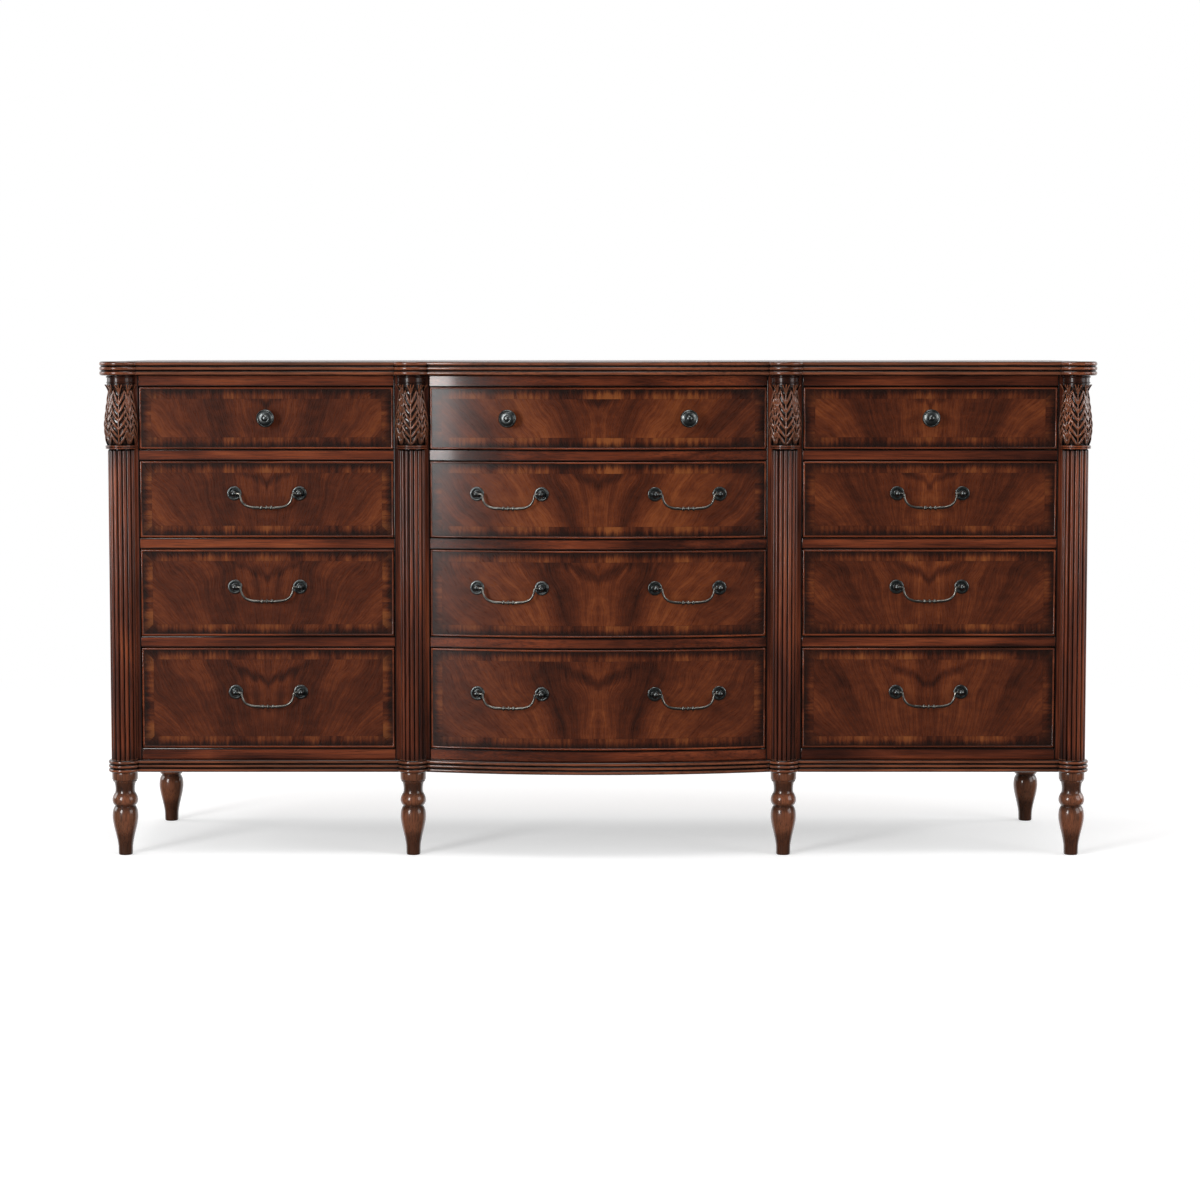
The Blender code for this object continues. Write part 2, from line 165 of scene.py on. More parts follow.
world = bpy.data.worlds.new("studio")
world.use_nodes = True
scene.world = world
rays = step("ShaderNodeLightPath", {}, world.node_tree).outputs
direction = step("ShaderNodeTexCoord", {}, world.node_tree).outputs["Generated"]
away = step("ShaderNodeSeparateXYZ", {"Vector": direction}).outputs
behind = fade(away["Y"], 0.1, 0.6)
overhead = fade(away["Z"], 0.0, 1.0, 0.25, 0.50)
dim_front = 0.012
polish_light = times(rays["Is Glossy Ray"], fade(behind, 0, 1, dim_front, 1))
matt_light = times(less(1, rays["Is Glossy Ray"]), overhead)
white_room = seen_plainly(rays)
indirect = times(less(1, white_room), plus(matt_light, polish_light))
feed(world.node_tree.nodes["Background"], {"Color": (1, 1, 1, 1), "Strength": plus(indirect, white_room)})


def lamp(name, place, width, height, power):
    """A soft box of this size, turned to face the middle of the case."""
    light = bpy.data.lights.new(name, "AREA")
    light.shape = "RECTANGLE"
    light.size = width
    light.size_y = height
    light.energy = power
    obj = bpy.data.objects.new(name, light)
    scene.collection.objects.link(obj)
    obj.location = place
    obj.rotation_euler = (Vector(case_middle) - Vector(place)).to_track_quat("-Z", "Y").to_euler()


case_middle = (0, 0, 0.5)
lamp("key_lamp", (-3.72, -5.0, 1.9), width=1.4, height=2.8, power=184)
lamp("fill_lamp", (5.6, -3.2, 2.2), width=3.5, height=3.5, power=110)
lamp("top_lamp", (-0.4, -0.6, 3.4), width=2.6, height=1.4, power=40)
for side in (-1, 1):
    lamp("end_lamp", (side * 5.0, 0.8, 1.7), width=2.0, height=2.0, power=55)

floor_radius = 9.0
bpy.ops.mesh.primitive_circle_add(vertices=96, radius=floor_radius, fill_type="NGON")
floor = bpy.context.object
floor.name = "floor"
floor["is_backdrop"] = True
floor.visible_glossy = False
pale, floor_place = new_finish("pale_floor")
floor.data.materials.append(pale)
matt_floor = pale.node_tree.nodes["Principled BSDF"]
matt_floor.inputs["Base Color"].default_value = (0.80, 0.80, 0.80, 1)
matt_floor.inputs["Roughness"].default_value = 0.9
floor_seen = seen_plainly(step("ShaderNodeLightPath", {}, pale.node_tree).outputs)
floor_glow = step("ShaderNodeEmission", {"Strength": times(floor_seen, 0.48)})
floor_lit = step("ShaderNodeAddShader", {0: matt_floor.outputs[0], 1: floor_glow.outputs[0]})
floor_reach = step("ShaderNodeVectorMath", {0: floor_place}, operation="LENGTH").outputs["Value"]
floor_edge = times(fade(floor_reach, 1.6, 3.4), floor_seen)
floor_white = step("ShaderNodeEmission", {"Strength": 1.0}, pale.node_tree)
floor_mix = step("ShaderNodeMixShader", {0: floor_edge, 1: floor_lit.outputs[0], 2: floor_white.outputs[0]})
feed(pale.node_tree.nodes["Material Output"], {"Surface": floor_mix.outputs[0]})


# The six legs: each turned from one length of solid mahogany, stained, glazed and painted with shade, with a
# collar under the base, a thin fillet, a hollow neck, a bead, and a vase that tapers to a small rounded foot.
def flow(points, steps=6):
    """A smooth run through these points, with this many steps between each two."""
    ends = [points[0], *points, points[-1]]
    run = []
    for before, start, end, after in zip(ends, ends[1:], ends[2:], ends[3:]):
        for i in range(steps):
            t = i / steps
            place = []
            for a, b, c, d in zip(before, start, end, after):
                curve = (2 * a - 5 * b + 4 * c - d) * t**2 + (3 * b - a - 3 * c + d) * t**3
                place.append(b + ((c - a) * t + curve) / 2)
            run.append(tuple(place))
    return [*run, points[-1]]


def draw_up(rise, widen, centre):
    """Draws what is picked straight up, then opens or closes it about a centre."""
    bpy.ops.mesh.extrude_region_move(TRANSFORM_OT_translate={"value": (0, 0, rise)})
    bpy.ops.transform.resize(value=(*widen, 1), center_override=centre)


def finish_shape(piece, name, corner=radians(38)):
    """Leaves edit mode with the faces turned outwards, the place in the mesh, and its corners crisp."""
    bpy.ops.mesh.select_all(action="SELECT")
    bpy.ops.mesh.normals_make_consistent(inside=False)
    bpy.ops.object.mode_set(mode="OBJECT")
    bpy.ops.object.transform_apply(location=True, rotation=True, scale=True)
    bpy.ops.object.shade_smooth_by_angle(angle=corner)
    piece.name = name
    piece.data.name = name


def turned(name, outline, place=(0, 0, 0), sides=96):
    """A piece turned on the lathe from (radius, height) pairs, from its foot to its head."""
    centre = Vector(place) + Vector((0, 0, outline[0][1]))
    bpy.ops.mesh.primitive_circle_add(vertices=sides, radius=outline[0][0], fill_type="NGON", location=centre)
    piece = bpy.context.object
    bpy.ops.object.mode_set(mode="EDIT")
    bpy.ops.mesh.select_all(action="SELECT")
    for (was, low), (radius, high) in zip(outline, outline[1:]):
        if hypot(radius - was, high - low) > MERGE:
            draw_up(high - low, (radius / was, radius / was), place)
    finish_shape(piece, name)
    return piece


def copy_of(piece, name, matrix):
    """Another of the same piece, with a mesh of its own, moved to its place."""
    copy = piece.copy()
    copy.data = piece.data.copy()
    copy.name = name
    copy.data.name = name
    scene.collection.objects.link(copy)
    copy.data.transform(matrix)
    return copy


def middle_of(node):
    """The middle of a node's box."""
    return [(low + high) / 2 for low, high in zip(*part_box(node))]


def give(piece, *finishes):
    """Gives a piece these finishes and no others."""
    piece.data.materials.clear()
    for finish in finishes:
        piece.data.materials.append(finish)


def hand_over(piece, node, body="case"):
    """Lets a piece stand for a node, which it hides, and move with one body."""
    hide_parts(node)
    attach(piece, body)


def noise(place, detail, roughness=0.5, distortion=0.0, scale=1.0):
    """A soft cloudy tone, read at a place."""
    sources = {"Vector": place, "Scale": scale, "Detail": detail}
    sources.update({"Roughness": roughness, "Distortion": distortion})
    return step("ShaderNodeTexNoise", sources, normalize=True).outputs["Fac"]


def blend_colours(share, first, second, way="MIX"):
    """The first colour with a share of the second laid over it."""
    sources = {"Factor": share}
    for socket, colour in ((6, first), (7, second)):
        sources[socket] = colour if isinstance(colour, bpy.types.NodeSocket) else (*colour, 1)
    return step("ShaderNodeMix", sources, data_type="RGBA", blend_type=way).outputs[2]


def colour_range(share, colours):
    """A colour that runs through (share, colour) pairs."""
    ramp = step("ShaderNodeValToRGB", {"Fac": share})
    band = ramp.color_ramp
    while len(band.elements) < len(colours):
        band.elements.new(0.5)
    for element, (position, colour) in zip(band.elements, colours):
        element.position = position
        element.color = (*colour, 1)
    return ramp.outputs["Color"]


def raised(grain, strength, depth):
    """How the surface faces with its grain raised, so that it catches the light as a real one does."""
    sources = {"Height": grain, "Strength": strength, "Distance": depth}
    return step("ShaderNodeBump", sources).outputs["Normal"]


def polish(finish, colour, roughness, coat, gloss, facing):
    """Gives a finish the shader of French-polished, waxed or bare wood."""
    sources = {"Base Color": colour, "Roughness": roughness, "Specular IOR Level": 0.25, "Normal": facing}
    sources.update({"Coat Weight": coat, "Coat Roughness": gloss})
    feed(finish.node_tree.nodes["Principled BSDF"], sources)


def openness(finish, reach, inside=False):
    """1 on a piece's open faces, and near 0 deep in its hollows, or from inside along its sharp crests."""
    settings = {"samples": 8, "only_local": True, "inside": inside}
    return step("ShaderNodeAmbientOcclusion", {"Distance": reach}, finish.node_tree, **settings).outputs["AO"]


def stretched(place, along, fine, coarse):
    """A place to read a pattern from that is fine across the grain and long drawn out along one axis."""
    scale = [fine, fine, fine]
    scale[along] = coarse
    return step("ShaderNodeMapping", {"Vector": place, "Scale": scale}).outputs[0]


def tone_mix(*weighted):
    """The sum of several tones, each by its weight."""
    return plus(*[times(tone, weight) for tone, weight in weighted])


def gap(first, second):
    """How far one measure is from another, either way."""
    return sum_of("ABSOLUTE", less(first, second))


def mahogany(
    name, along, glaze_and_hollow_shade=0.0, wear_and_highlight=0.0, tint=0.0, bleach=0.0, bands=(), gap_shade_lines=(), gap_shade_reach=0.0042,
    hollow_depth=0.009, coat=0.75, gloss=0.10
):
    """Solid mahogany with its grain along one axis, dark glaze and painted shade in its hollows, in bands and
    along its edges, and wear and painted highlight on its crests.
    """
    finish, place = new_finish(name)
    flames = noise(stretched(place, along, 15.0, 3.2), 3.0, 0.5, 0.7)
    ribbons = noise(stretched(place, along, 62.0, 2.6), 4.0, 0.6, 0.4)
    fibres = noise(stretched(place, along, 620.0, 14.0), 3.0, 0.55)
    tone = plus(tone_mix((flames, 0.58), (ribbons, 0.42)), tint)
    colour = blend_colours(bleach, colour_range(tone, MAHOGANY_RANGE), BLEACHED_MAHOGANY)
    pores = fade(fibres, 0.36, 0.54, 0.50, 1.0)
    shade = step("ShaderNodeCombineColor", {0: pores, 1: pores, 2: pores}).outputs[0]
    colour = blend_colours(1.0, colour, shade, "MULTIPLY")
    parts = step("ShaderNodeSeparateXYZ", {"Vector": place}).outputs
    # Painted shade: bands of dark glaze colour by height, for glaze and for the shade in necks and under
    # rings
    if bands:
        share = colour_range(parts["Z"], [(height, (dark, dark, dark)) for height, dark in bands])
        colour = blend_colours(share, colour, GLAZE_AND_SHADE)
    # Painted highlight: the sharp crests lighter, for wear and for the light they catch
    if wear_and_highlight:
        worn_and_lit = fade(openness(finish, 0.0022, inside=True), 0.48, 0.88, wear_and_highlight, 0.0)
        colour = blend_colours(worn_and_lit, colour, WORN_AND_LIT_MAHOGANY)
    # Painted shade: dark lines along the gaps and grooves at these heights or sides
    for axis, at in gap_shade_lines:
        colour = blend_colours(fade(gap(parts[axis], at), 0.0010, gap_shade_reach, 0.97, 0.0), colour, GLAZE_AND_SHADE)
    # Painted shade: dark glaze colour laid in the hollows, wherever the piece closes in on itself
    if glaze_and_hollow_shade:
        sunk = fade(openness(finish, hollow_depth), 0.56, 0.99, glaze_and_hollow_shade, 0.0)
        colour = blend_colours(sunk, colour, GLAZE_AND_SHADE)
    polish(finish, colour, fade(fibres, 0.3, 0.7, 0.36, 0.26), coat, gloss, raised(fibres, 0.15, 0.0002))
    return finish


MERGE = 1e-6
MAHOGANY_RANGE = (
    (0.37, (0.044, 0.0105, 0.0056)),
    (0.46, (0.094, 0.0205, 0.0083)),
    (0.54, (0.165, 0.0350, 0.0126)),
    (0.64, (0.245, 0.0580, 0.0190))
)
WORN_AND_LIT_MAHOGANY = (0.26, 0.088, 0.040)
BLEACHED_MAHOGANY = (0.27, 0.118, 0.062)
GLAZE_AND_SHADE = (0.0055, 0.0036, 0.0031)

leg_low, leg_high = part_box("leg_front_outer_left")
leg_radius = (leg_high.x - leg_low.x) / 2
leg_height = leg_high.z
# How much darker the leg is painted at each share of its height: glaze, and shade in its neck and under its
# vase
glaze_and_shade_shares = (
    (0.0, 0.70), (0.24, 0.62), (0.33, 0.12), (0.50, 0.10), (0.56, 0.60), (0.615, 0.45), (0.65, 0.0),
    (0.71, 0.0), (0.745, 0.50), (0.78, 0.74), (0.86, 0.70), (0.905, 0.30), (1.0, 0.20)
)
leg_shade_bands = [(share * leg_height, dark) for share, dark in glaze_and_shade_shares]
leg_mahogany = mahogany("leg_mahogany", 2, glaze_and_hollow_shade=0.9, wear_and_highlight=0.3, bleach=0.45, bands=leg_shade_bands)
# Shares of the leg's radius and height
foot_shares = (
    (0.46, 0.0), (0.53, 0.004), (0.56, 0.02), (0.565, 0.06), (0.58, 0.12), (0.67, 0.20), (0.79, 0.28)
)
vase_shares = ((0.90, 0.35), (0.985, 0.425), (1.0, 0.475), (0.96, 0.535), (0.86, 0.575), (0.80, 0.588))
bead_shares = (
    (0.80, 0.598), (0.91, 0.615), (0.985, 0.643), (1.0, 0.668), (0.97, 0.695), (0.90, 0.722), (0.83, 0.742)
)
neck_shares = ((0.79, 0.748), (0.755, 0.775), (0.755, 0.815), (0.80, 0.86), (0.86, 0.885))
fillet_shares = ((0.92, 0.888), (0.945, 0.894), (0.92, 0.902))
collar_shares = ((0.97, 0.908), (1.0, 0.916), (1.0, 0.985), (0.98, 1.0))
leg_outline = flow(foot_shares + vase_shares) + flow(bead_shares) + flow(neck_shares)
leg_outline += [*fillet_shares, *collar_shares]
leg_outline = [(radius * leg_radius, height * leg_height) for radius, height in leg_outline]
leg = turned("leg", leg_outline, sides=64)
give(leg, leg_mahogany)
front_legs = ("front_outer_left", "front_outer_right", "front_inner_left", "front_inner_right")
for place in (*front_legs, "rear_left", "rear_right"):
    x, y, z = middle_of("leg_" + place)
    hand_over(copy_of(leg, "turned_leg_" + place, Matrix.Translation((x, y, 0))), "leg_" + place)
bpy.data.objects.remove(leg)


# The base and the top: solid boards whose front and ends are worked with three reeds, one over another,
# with a round block over and under each column and, at the middle, the sweep of the bow.
def apply(piece, kind, **settings):
    """Adds a modifier to a piece and makes it part of the mesh."""
    modifier = piece.modifiers.new(kind.lower(), kind)
    for name, setting in settings.items():
        setattr(modifier, name, setting)
    with bpy.context.temp_override(object=piece, active_object=piece, selected_objects=[piece]):
        bpy.ops.object.modifier_apply(modifier=modifier.name)


def join_to(piece, other, operation="UNION", solver="EXACT"):
    """Joins another shape to a piece, or cuts it away, and removes the other."""
    apply(piece, "BOOLEAN", operation=operation, solver=solver, object=other)
    bpy.data.objects.remove(other)


def start_shape(scale=(1, 1, 1), turn=(0, 0, 0)):
    """Sizes and turns the shape just added, and opens it for editing with all of it picked."""
    piece = bpy.context.object
    piece.scale = scale
    piece.rotation_euler = turn
    bpy.ops.object.transform_apply(location=True, rotation=True, scale=True)
    bpy.ops.object.mode_set(mode="EDIT")
    bpy.ops.mesh.select_all(action="SELECT")
    return piece


def pick_only(*pieces):
    """Picks these pieces and no others, the first of them as the one to work on."""
    bpy.ops.object.select_all(action="DESELECT")
    for piece in pieces:
        piece.select_set(True)
    bpy.context.view_layer.objects.active = pieces[0]


def soften(piece, corner=radians(38)):
    """Shades a piece smooth but for its corners."""
    pick_only(piece)
    bpy.ops.object.shade_smooth_by_angle(angle=corner)


def ease(piece, width, segments=2):
    """Rounds the sharp edges of a piece over this width."""
    apply(piece, "BEVEL", width=width, segments=segments, limit_method="ANGLE", angle_limit=radians(40))


def board(name, low, high, lengths=1, eased=0.0008):
    """A board between two corners, in so many lengths along x, with its edges just taken off."""
    size = Vector(high) - Vector(low)
    middle = (Vector(low) + Vector(high)) / 2
    bpy.ops.mesh.primitive_grid_add(
        x_subdivisions=lengths, y_subdivisions=1, size=1, location=(middle.x, middle.y, low[2])
    )
    piece = start_shape((size.x, size.y, 1))
    draw_up(size.z, (1, 1), middle)
    finish_shape(piece, name)
    if eased:
        ease(piece, eased)
        soften(piece)
    return piece


column_x = {place: middle_of(f"leg_front_{place}_right")[0] for place in ("inner", "outer")}
front_gap = 0.0015
bow_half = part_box("drawer_front_centre_1")[1].x + front_gap
bow_rise = face_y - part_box("bay_frame_centre")[0].y
bow_radius = (bow_half**2 + bow_rise**2) / (2 * bow_rise)
bow_centre = (0, face_y - bow_rise + bow_radius, 0)
reed_count = 3
reed_depth = 0.0042
reed_steps = 10


def reeded_board(node, name):
    """A board that follows its node, its edge drawn up reed by reed."""
    low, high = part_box(node)
    thickness = high.z - low.z
    block_radius = high.x - column_x["outer"]
    overhang = face_y - bow_rise - low.y
    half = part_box("end_panel_right")[1].x + overhang
    edge = []
    for i in range(reed_count):
        for k in range(reed_steps + 1):
            turn = pi * k / reed_steps
            height = low.z + thickness * (i + (1 - cos(turn)) / 2) / reed_count
            edge.append((reed_depth * (1 - sin(turn)), height))
    depth = high.y - face_y + overhang
    bpy.ops.mesh.primitive_plane_add(size=1, location=(0, high.y - (depth - reed_depth) / 2, low.z))
    panel = start_shape((2 * (half - reed_depth), depth - reed_depth, 1))
    for (was, under), (inset, height) in zip(edge, edge[1:]):
        if height - under > MERGE:
            widen = ((half - inset) / (half - was), (depth - inset) / (depth - was))
            draw_up(height - under, widen, (0, high.y, 0))
    finish_shape(panel, name)
    sweep = bow_radius + overhang
    bow = turned("bow", [(sweep - inset, height) for inset, height in edge], bow_centre, sides=720)
    reach_low = (-column_x["inner"], low.y - overhang, low.z - thickness)
    reach_high = (column_x["inner"], face_y + overhang, high.z + thickness)
    join_to(bow, board("reach", reach_low, reach_high, eased=0), "INTERSECT")
    join_to(panel, bow)
    for x in column_x.values():
        for side in (-1, 1):
            outline = [(block_radius - inset, height) for inset, height in edge]
            join_to(panel, turned("block", outline, (side * x, face_y, 0)))
    soften(panel)
    hand_over(panel, node)
    return panel


def pattern(across, along, seed, fine, coarse, detail, roughness=0.5):
    """A tone read from a flat pattern, fine one way and coarse the other."""
    sources = {"X": times(across, fine), "Y": times(along, coarse), "Z": seed}
    return noise(step("ShaderNodeCombineXYZ", sources).outputs[0], detail, roughness)


def off_middle(tone, size):
    """A tone's swing to either side of nought, at this size."""
    return times(less(tone, 0.5), size)


def crotch_veneer(
    name, axes, middle, low, half, height, fan_depth, border, seed, tint=0.0, swag=None, sweep=None,
    swing=0.26
):
    """Veneer matched about a middle line, its figure fanning up from a point below, in a crossband."""
    finish, place = new_finish(name)
    parts = step("ShaderNodeSeparateXYZ", {"Vector": place}).outputs
    sideways = less(parts[axes[0]], middle)
    out = sum_of("ABSOLUTE", sideways)
    up = less(parts[axes[1]], low)
    from_end = less(half, out)
    from_top = less(height, up)
    if sweep:
        sweep_radius, sweep_rise = sweep
        sagitta = less(sweep_radius**2, times(out, out))
        reach_out = sum_of("SQRT", sum_of("MAXIMUM", sagitta, 0.0))
        up = plus(up, sum_of("MAXIMUM", less(reach_out, sweep_radius - sweep_rise), 0.0))
    from_long_edge = sum_of("MINIMUM", up, from_top)
    from_edge = sum_of("MINIMUM", from_end, from_long_edge)

    # The figure runs along rays from the foot of the fan, in soft bands that waver a little
    waver = pattern(out, up, seed, 6.0, 6.0, 2.0)
    above_foot = plus(up, fan_depth)
    ray = plus(sum_of("ARCTAN2", out, above_foot), off_middle(waver, swing))
    reach = sum_of("SQRT", plus(times(out, out), times(above_foot, above_foot)))
    bands = pattern(ray, reach, seed, 5.0, 2.0, 1.5, 0.45)
    streaks = pattern(ray, reach, seed + 3, 30.0, 5.0, 3.0, 0.60)
    threads = pattern(ray, reach, seed + 5, 95.0, 13.0, 4.0, 0.65)
    mottle = pattern(out, up, seed + 7, 38.0, 60.0, 4.0, 0.62)
    pores = pattern(ray, reach, seed, 480.0, 60.0, 2.0)
    tone = plus(tone_mix((bands, 0.40), (streaks, 0.16), (threads, 0.25), (mottle, 0.19)), tint)
    if swag:
        slope, drop, thickness = swag
        hang = times(sum_of("POWER", out, 0.8), slope)
        wing = plus(from_top, less(hang, border + drop), off_middle(streaks, 0.030))
        wing_depth = fade(sum_of("ABSOLUTE", wing), 0.0, thickness, 0.125, 0.0)
        tone = less(tone, times(wing_depth, fade(out, 0.030, 0.120, 1.0, 0.0)))
    field = colour_range(tone, VENEER_RANGE)

    # The crossband's grain runs straight in from each edge
    on_end = sum_of("LESS_THAN", from_end, from_long_edge)
    along = step("ShaderNodeMix", {0: on_end, 2: sideways, 3: up}, data_type="FLOAT").outputs[0]
    band_seed = plus(times(on_end, 5.0), seed)
    patches = pattern(along, from_edge, band_seed, 15.0, 8.0, 2.0)
    flecks = pattern(along, from_edge, band_seed, 150.0, 18.0, 3.0, 0.65)
    warmth = fade(from_edge, 0.25 * border, 0.8 * border, -0.045, 0.03)
    band_tone = plus(tone_mix((patches, 0.58), (flecks, 0.42)), warmth)
    inside = fade(from_edge, border - 0.0005, border + 0.0005)
    colour = blend_colours(inside, colour_range(band_tone, CROSSBAND_RANGE), field)
    colour = blend_colours(fade(gap(from_edge, border), 0.0, 0.0009, 0.25, 0.0), colour, VENEER_DARK)

    # Painted shade along the edges, and more in the corners
    ragged = plus(from_edge, off_middle(flecks, 0.016))
    edge_shade = fade(ragged, 0.0, 0.62 * border, 0.86, 0.0)
    corner_shade = fade(plus(from_end, from_long_edge), 0.006, 0.070, 0.7, 0.0)
    colour = blend_colours(sum_of("MAXIMUM", edge_shade, corner_shade), colour, EDGE_SHADE)
    polish(finish, colour, fade(pores, 0.3, 0.7, 0.34, 0.26), 0.22, 0.18, raised(pores, 0.10, 0.0001))
    return finish


VENEER_DARK = (0.018, 0.0062, 0.0042)
EDGE_SHADE = (0.0125, 0.0066, 0.0052)
VENEER_RANGE = (
    (0.37, (0.026, 0.0075, 0.0045)),
    (0.44, (0.050, 0.0120, 0.0053)),
    (0.51, (0.080, 0.0178, 0.0066)),
    (0.58, (0.124, 0.0285, 0.0088)),
    (0.67, (0.195, 0.0500, 0.0140))
)
CROSSBAND_RANGE = (
    (0.38, (0.026, 0.0075, 0.0045)),
    (0.47, (0.056, 0.0128, 0.0055)),
    (0.56, (0.110, 0.0258, 0.0082)),
    (0.67, (0.205, 0.0590, 0.0150))
)

# Painted shade: dark lines in the reeds' grooves and along the boards' upper and lower edges
reed_gap_shade_lines = []
for node in ("base_board", "top_panel"):
    low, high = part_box(node)
    reed_gap_shade_lines += [(2, low.z + (high.z - low.z) * i / reed_count) for i in range(reed_count + 1)]
edge_mahogany = mahogany(
    "edge_mahogany", 0, glaze_and_hollow_shade=0.95, wear_and_highlight=0.9, tint=0.012, bleach=0.30, gap_shade_lines=reed_gap_shade_lines, gap_shade_reach=0.0031
)
give(reeded_board("base_board", "reeded_base"), edge_mahogany)
top_board = reeded_board("top_panel", "reeded_top")
top_low, top_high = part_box("top_panel")
top_overhang = face_y - bow_rise - top_low.y
top_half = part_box("end_panel_right")[1].x + top_overhang
top_front = face_y - top_overhang
top_veneer = crotch_veneer(
    "veneer_top", (0, 1), 0.0, top_front, top_half, top_high.y - top_front, fan_depth=0.9, border=0.055,
    seed=31.0, sweep=(bow_radius + top_overhang, bow_rise), swing=0.16
)
give(top_board, edge_mahogany, top_veneer)
for face in top_board.data.polygons:
    face.material_index = 1 if face.normal.z > 0.9 and face.center.z > top_high.z - 0.0005 else 0


# The four columns: a shaft worked with sixteen reeds, a ring of two beads, a capital carved with eight
# acanthus leaves, and a plain neck. Each is turned and carved in solid mahogany and cut to sit on the corner.
def joined(name, pieces, *finishes):
    """Several shapes kept as one piece, with their own finishes unless others are given."""
    pick_only(*pieces)
    bpy.ops.object.join()
    pieces[0].name = name
    pieces[0].data.name = name
    if finishes:
        give(pieces[0], *finishes)
    return pieces[0]


def rods(name, paths, roundness):
    """Round rods, each along its own (x, y, z, radius) points, as one closed mesh."""
    thickest = max(radius for path in paths for *_, radius in path)
    curve = bpy.data.curves.new(name, "CURVE")
    curve.dimensions = "3D"
    curve.bevel_depth = thickest
    curve.bevel_resolution = roundness
    curve.use_fill_caps = True
    for path in paths:
        spline = curve.splines.new("POLY")
        spline.points.add(len(path) - 1)
        for point, (x, y, z, radius) in zip(spline.points, path):
            point.co = (x, y, z, 1)
            point.radius = radius / thickest
    piece = bpy.data.objects.new(name, curve)
    scene.collection.objects.link(piece)
    pick_only(piece)
    bpy.ops.object.convert(target="MESH")
    bpy.ops.object.mode_set(mode="EDIT")
    finish_shape(bpy.context.object, name)
    return bpy.context.object


column_low, column_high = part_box("column_inner_left")
neck_height = 0.012
neck_radius = 0.0268
neck_low = column_high.z - neck_height
capital_height = 0.1265
capital_low = neck_low - capital_height
ring_height = 0.007
ring_radius = 0.0292
ring_low = capital_low - ring_height
shaft_radius = 0.0265
reed_round = 0.0044
reed_centre = 0.0221
groove_radius = 0.0217
shaft_reeds = 16
reed_pitch = 2 * pi / shaft_reeds
reed_points = 10


def reed_radius(offset, share):
    """How far out the shaft's face lies at this angle from a reed's crest, near its end a share as wide."""
    half = reed_round * share
    across = reed_centre * sin(offset)
    if abs(across) >= half:
        return groove_radius
    return max(groove_radius, reed_centre * cos(offset) + sqrt(half**2 - across**2))


def pick_points(piece, wanted):
    """Picks, in edit mode, the points that are wanted, with the edges and faces that lie between them."""
    mesh = bmesh.from_edit_mesh(piece.data)
    for vert in mesh.verts:
        vert.select_set(False)
    mesh.select_flush(False)
    for vert in mesh.verts:
        if wanted(vert.co):
            vert.select_set(True)
    mesh.select_flush(True)
    bmesh.update_edit_mesh(piece.data)


def reeded_shaft():
    """The shaft, drawn up from its plan, with each reed rounded off under the ring."""
    offsets = [reed_pitch * i / reed_points for i in range(reed_points // 2 + 1)]
    height = column_low.z
    bpy.ops.mesh.primitive_circle_add(
        vertices=shaft_reeds * reed_points, radius=shaft_radius, fill_type="NGON", location=(0, 0, height)
    )
    shaft = start_shape()
    was = [shaft_radius] * len(offsets)
    turns = [pi / 2 * i / 6 for i in range(7)]
    ends = [(height, 1.0)]
    ends += [(ring_low - reed_round - 0.0005 + reed_round * sin(turn), cos(turn)) for turn in turns]
    ends += [(ring_low + 0.001, 0.0)]
    for level, share in ends:
        if level - height > MERGE:
            pick_points(shaft, lambda co: co.z > height - MERGE)
            draw_up(level - height, (1, 1), (0, 0, 0))
        height = level
        for i in range(len(offsets)):
            fresh = reed_radius(offsets[i], share)
            if abs(fresh - was[i]) > MERGE:

                def on_this_line(co):
                    from_crest = abs((atan2(co.y, co.x) + reed_pitch / 2) % reed_pitch - reed_pitch / 2)
                    return co.z > height - MERGE and abs(from_crest - offsets[i]) < reed_pitch / 40

                pick_points(shaft, on_this_line)
                bpy.ops.transform.resize(value=(fresh / was[i], fresh / was[i], 1), center_override=(0, 0, 0))
                was[i] = fresh
    finish_shape(shaft, "shaft", corner=radians(30))
    return shaft


# Shares of the capital's height, and of how far its leaves stand out from the shaft
vase_line = flow(
    ((0.0, 0.16), (0.12, 0.66), (0.31, 1.0), (0.55, 0.50), (0.81, -0.16), (0.90, 0.0), (1.0, 0.12))
)
leaf_proud = 0.0065
leaf_sunk = 0.0040
lobe_step = 0.129
lobe_length = 0.205
lobe_thickness = 0.0030


def vase_radius(rise):
    """The radius of the leaves' outer faces at this share of the capital's height."""
    rise = min(max(rise, 0.0), 1.0)
    for (low, low_out), (high, high_out) in zip(vase_line, vase_line[1:]):
        if rise <= high:
            out = low_out + (high_out - low_out) * (rise - low) / max(high - low, MERGE)
            return shaft_radius + leaf_proud * out
    return shaft_radius


def on_vase(turn, arc, rise, proud, radius):
    """A point of a carved rod: this far round and up the capital, standing out from its core."""
    out = vase_radius(rise) - leaf_sunk + proud
    angle = turn + arc / shaft_radius
    return (out * cos(angle), out * sin(angle), capital_low + capital_height * rise, radius)


def leaf_lobe(turn, side, low, spread, sunk):
    """One lobe of a leaf: a plump pointed blade that rises from the midrib up and out to a lifted tip."""
    path = []
    for i in range(11):
        t = i / 10
        arc = side * (0.0006 + spread * t**0.9)
        rise = low + lobe_length * (t + 0.10 * t * t)
        radius = max(0.0003, lobe_thickness * sin(pi * (0.14 + 0.84 * t)) ** 0.75)
        path.append(on_vase(turn, arc, rise, 0.0022 + 0.0014 * t * t - sunk, radius))
    return path


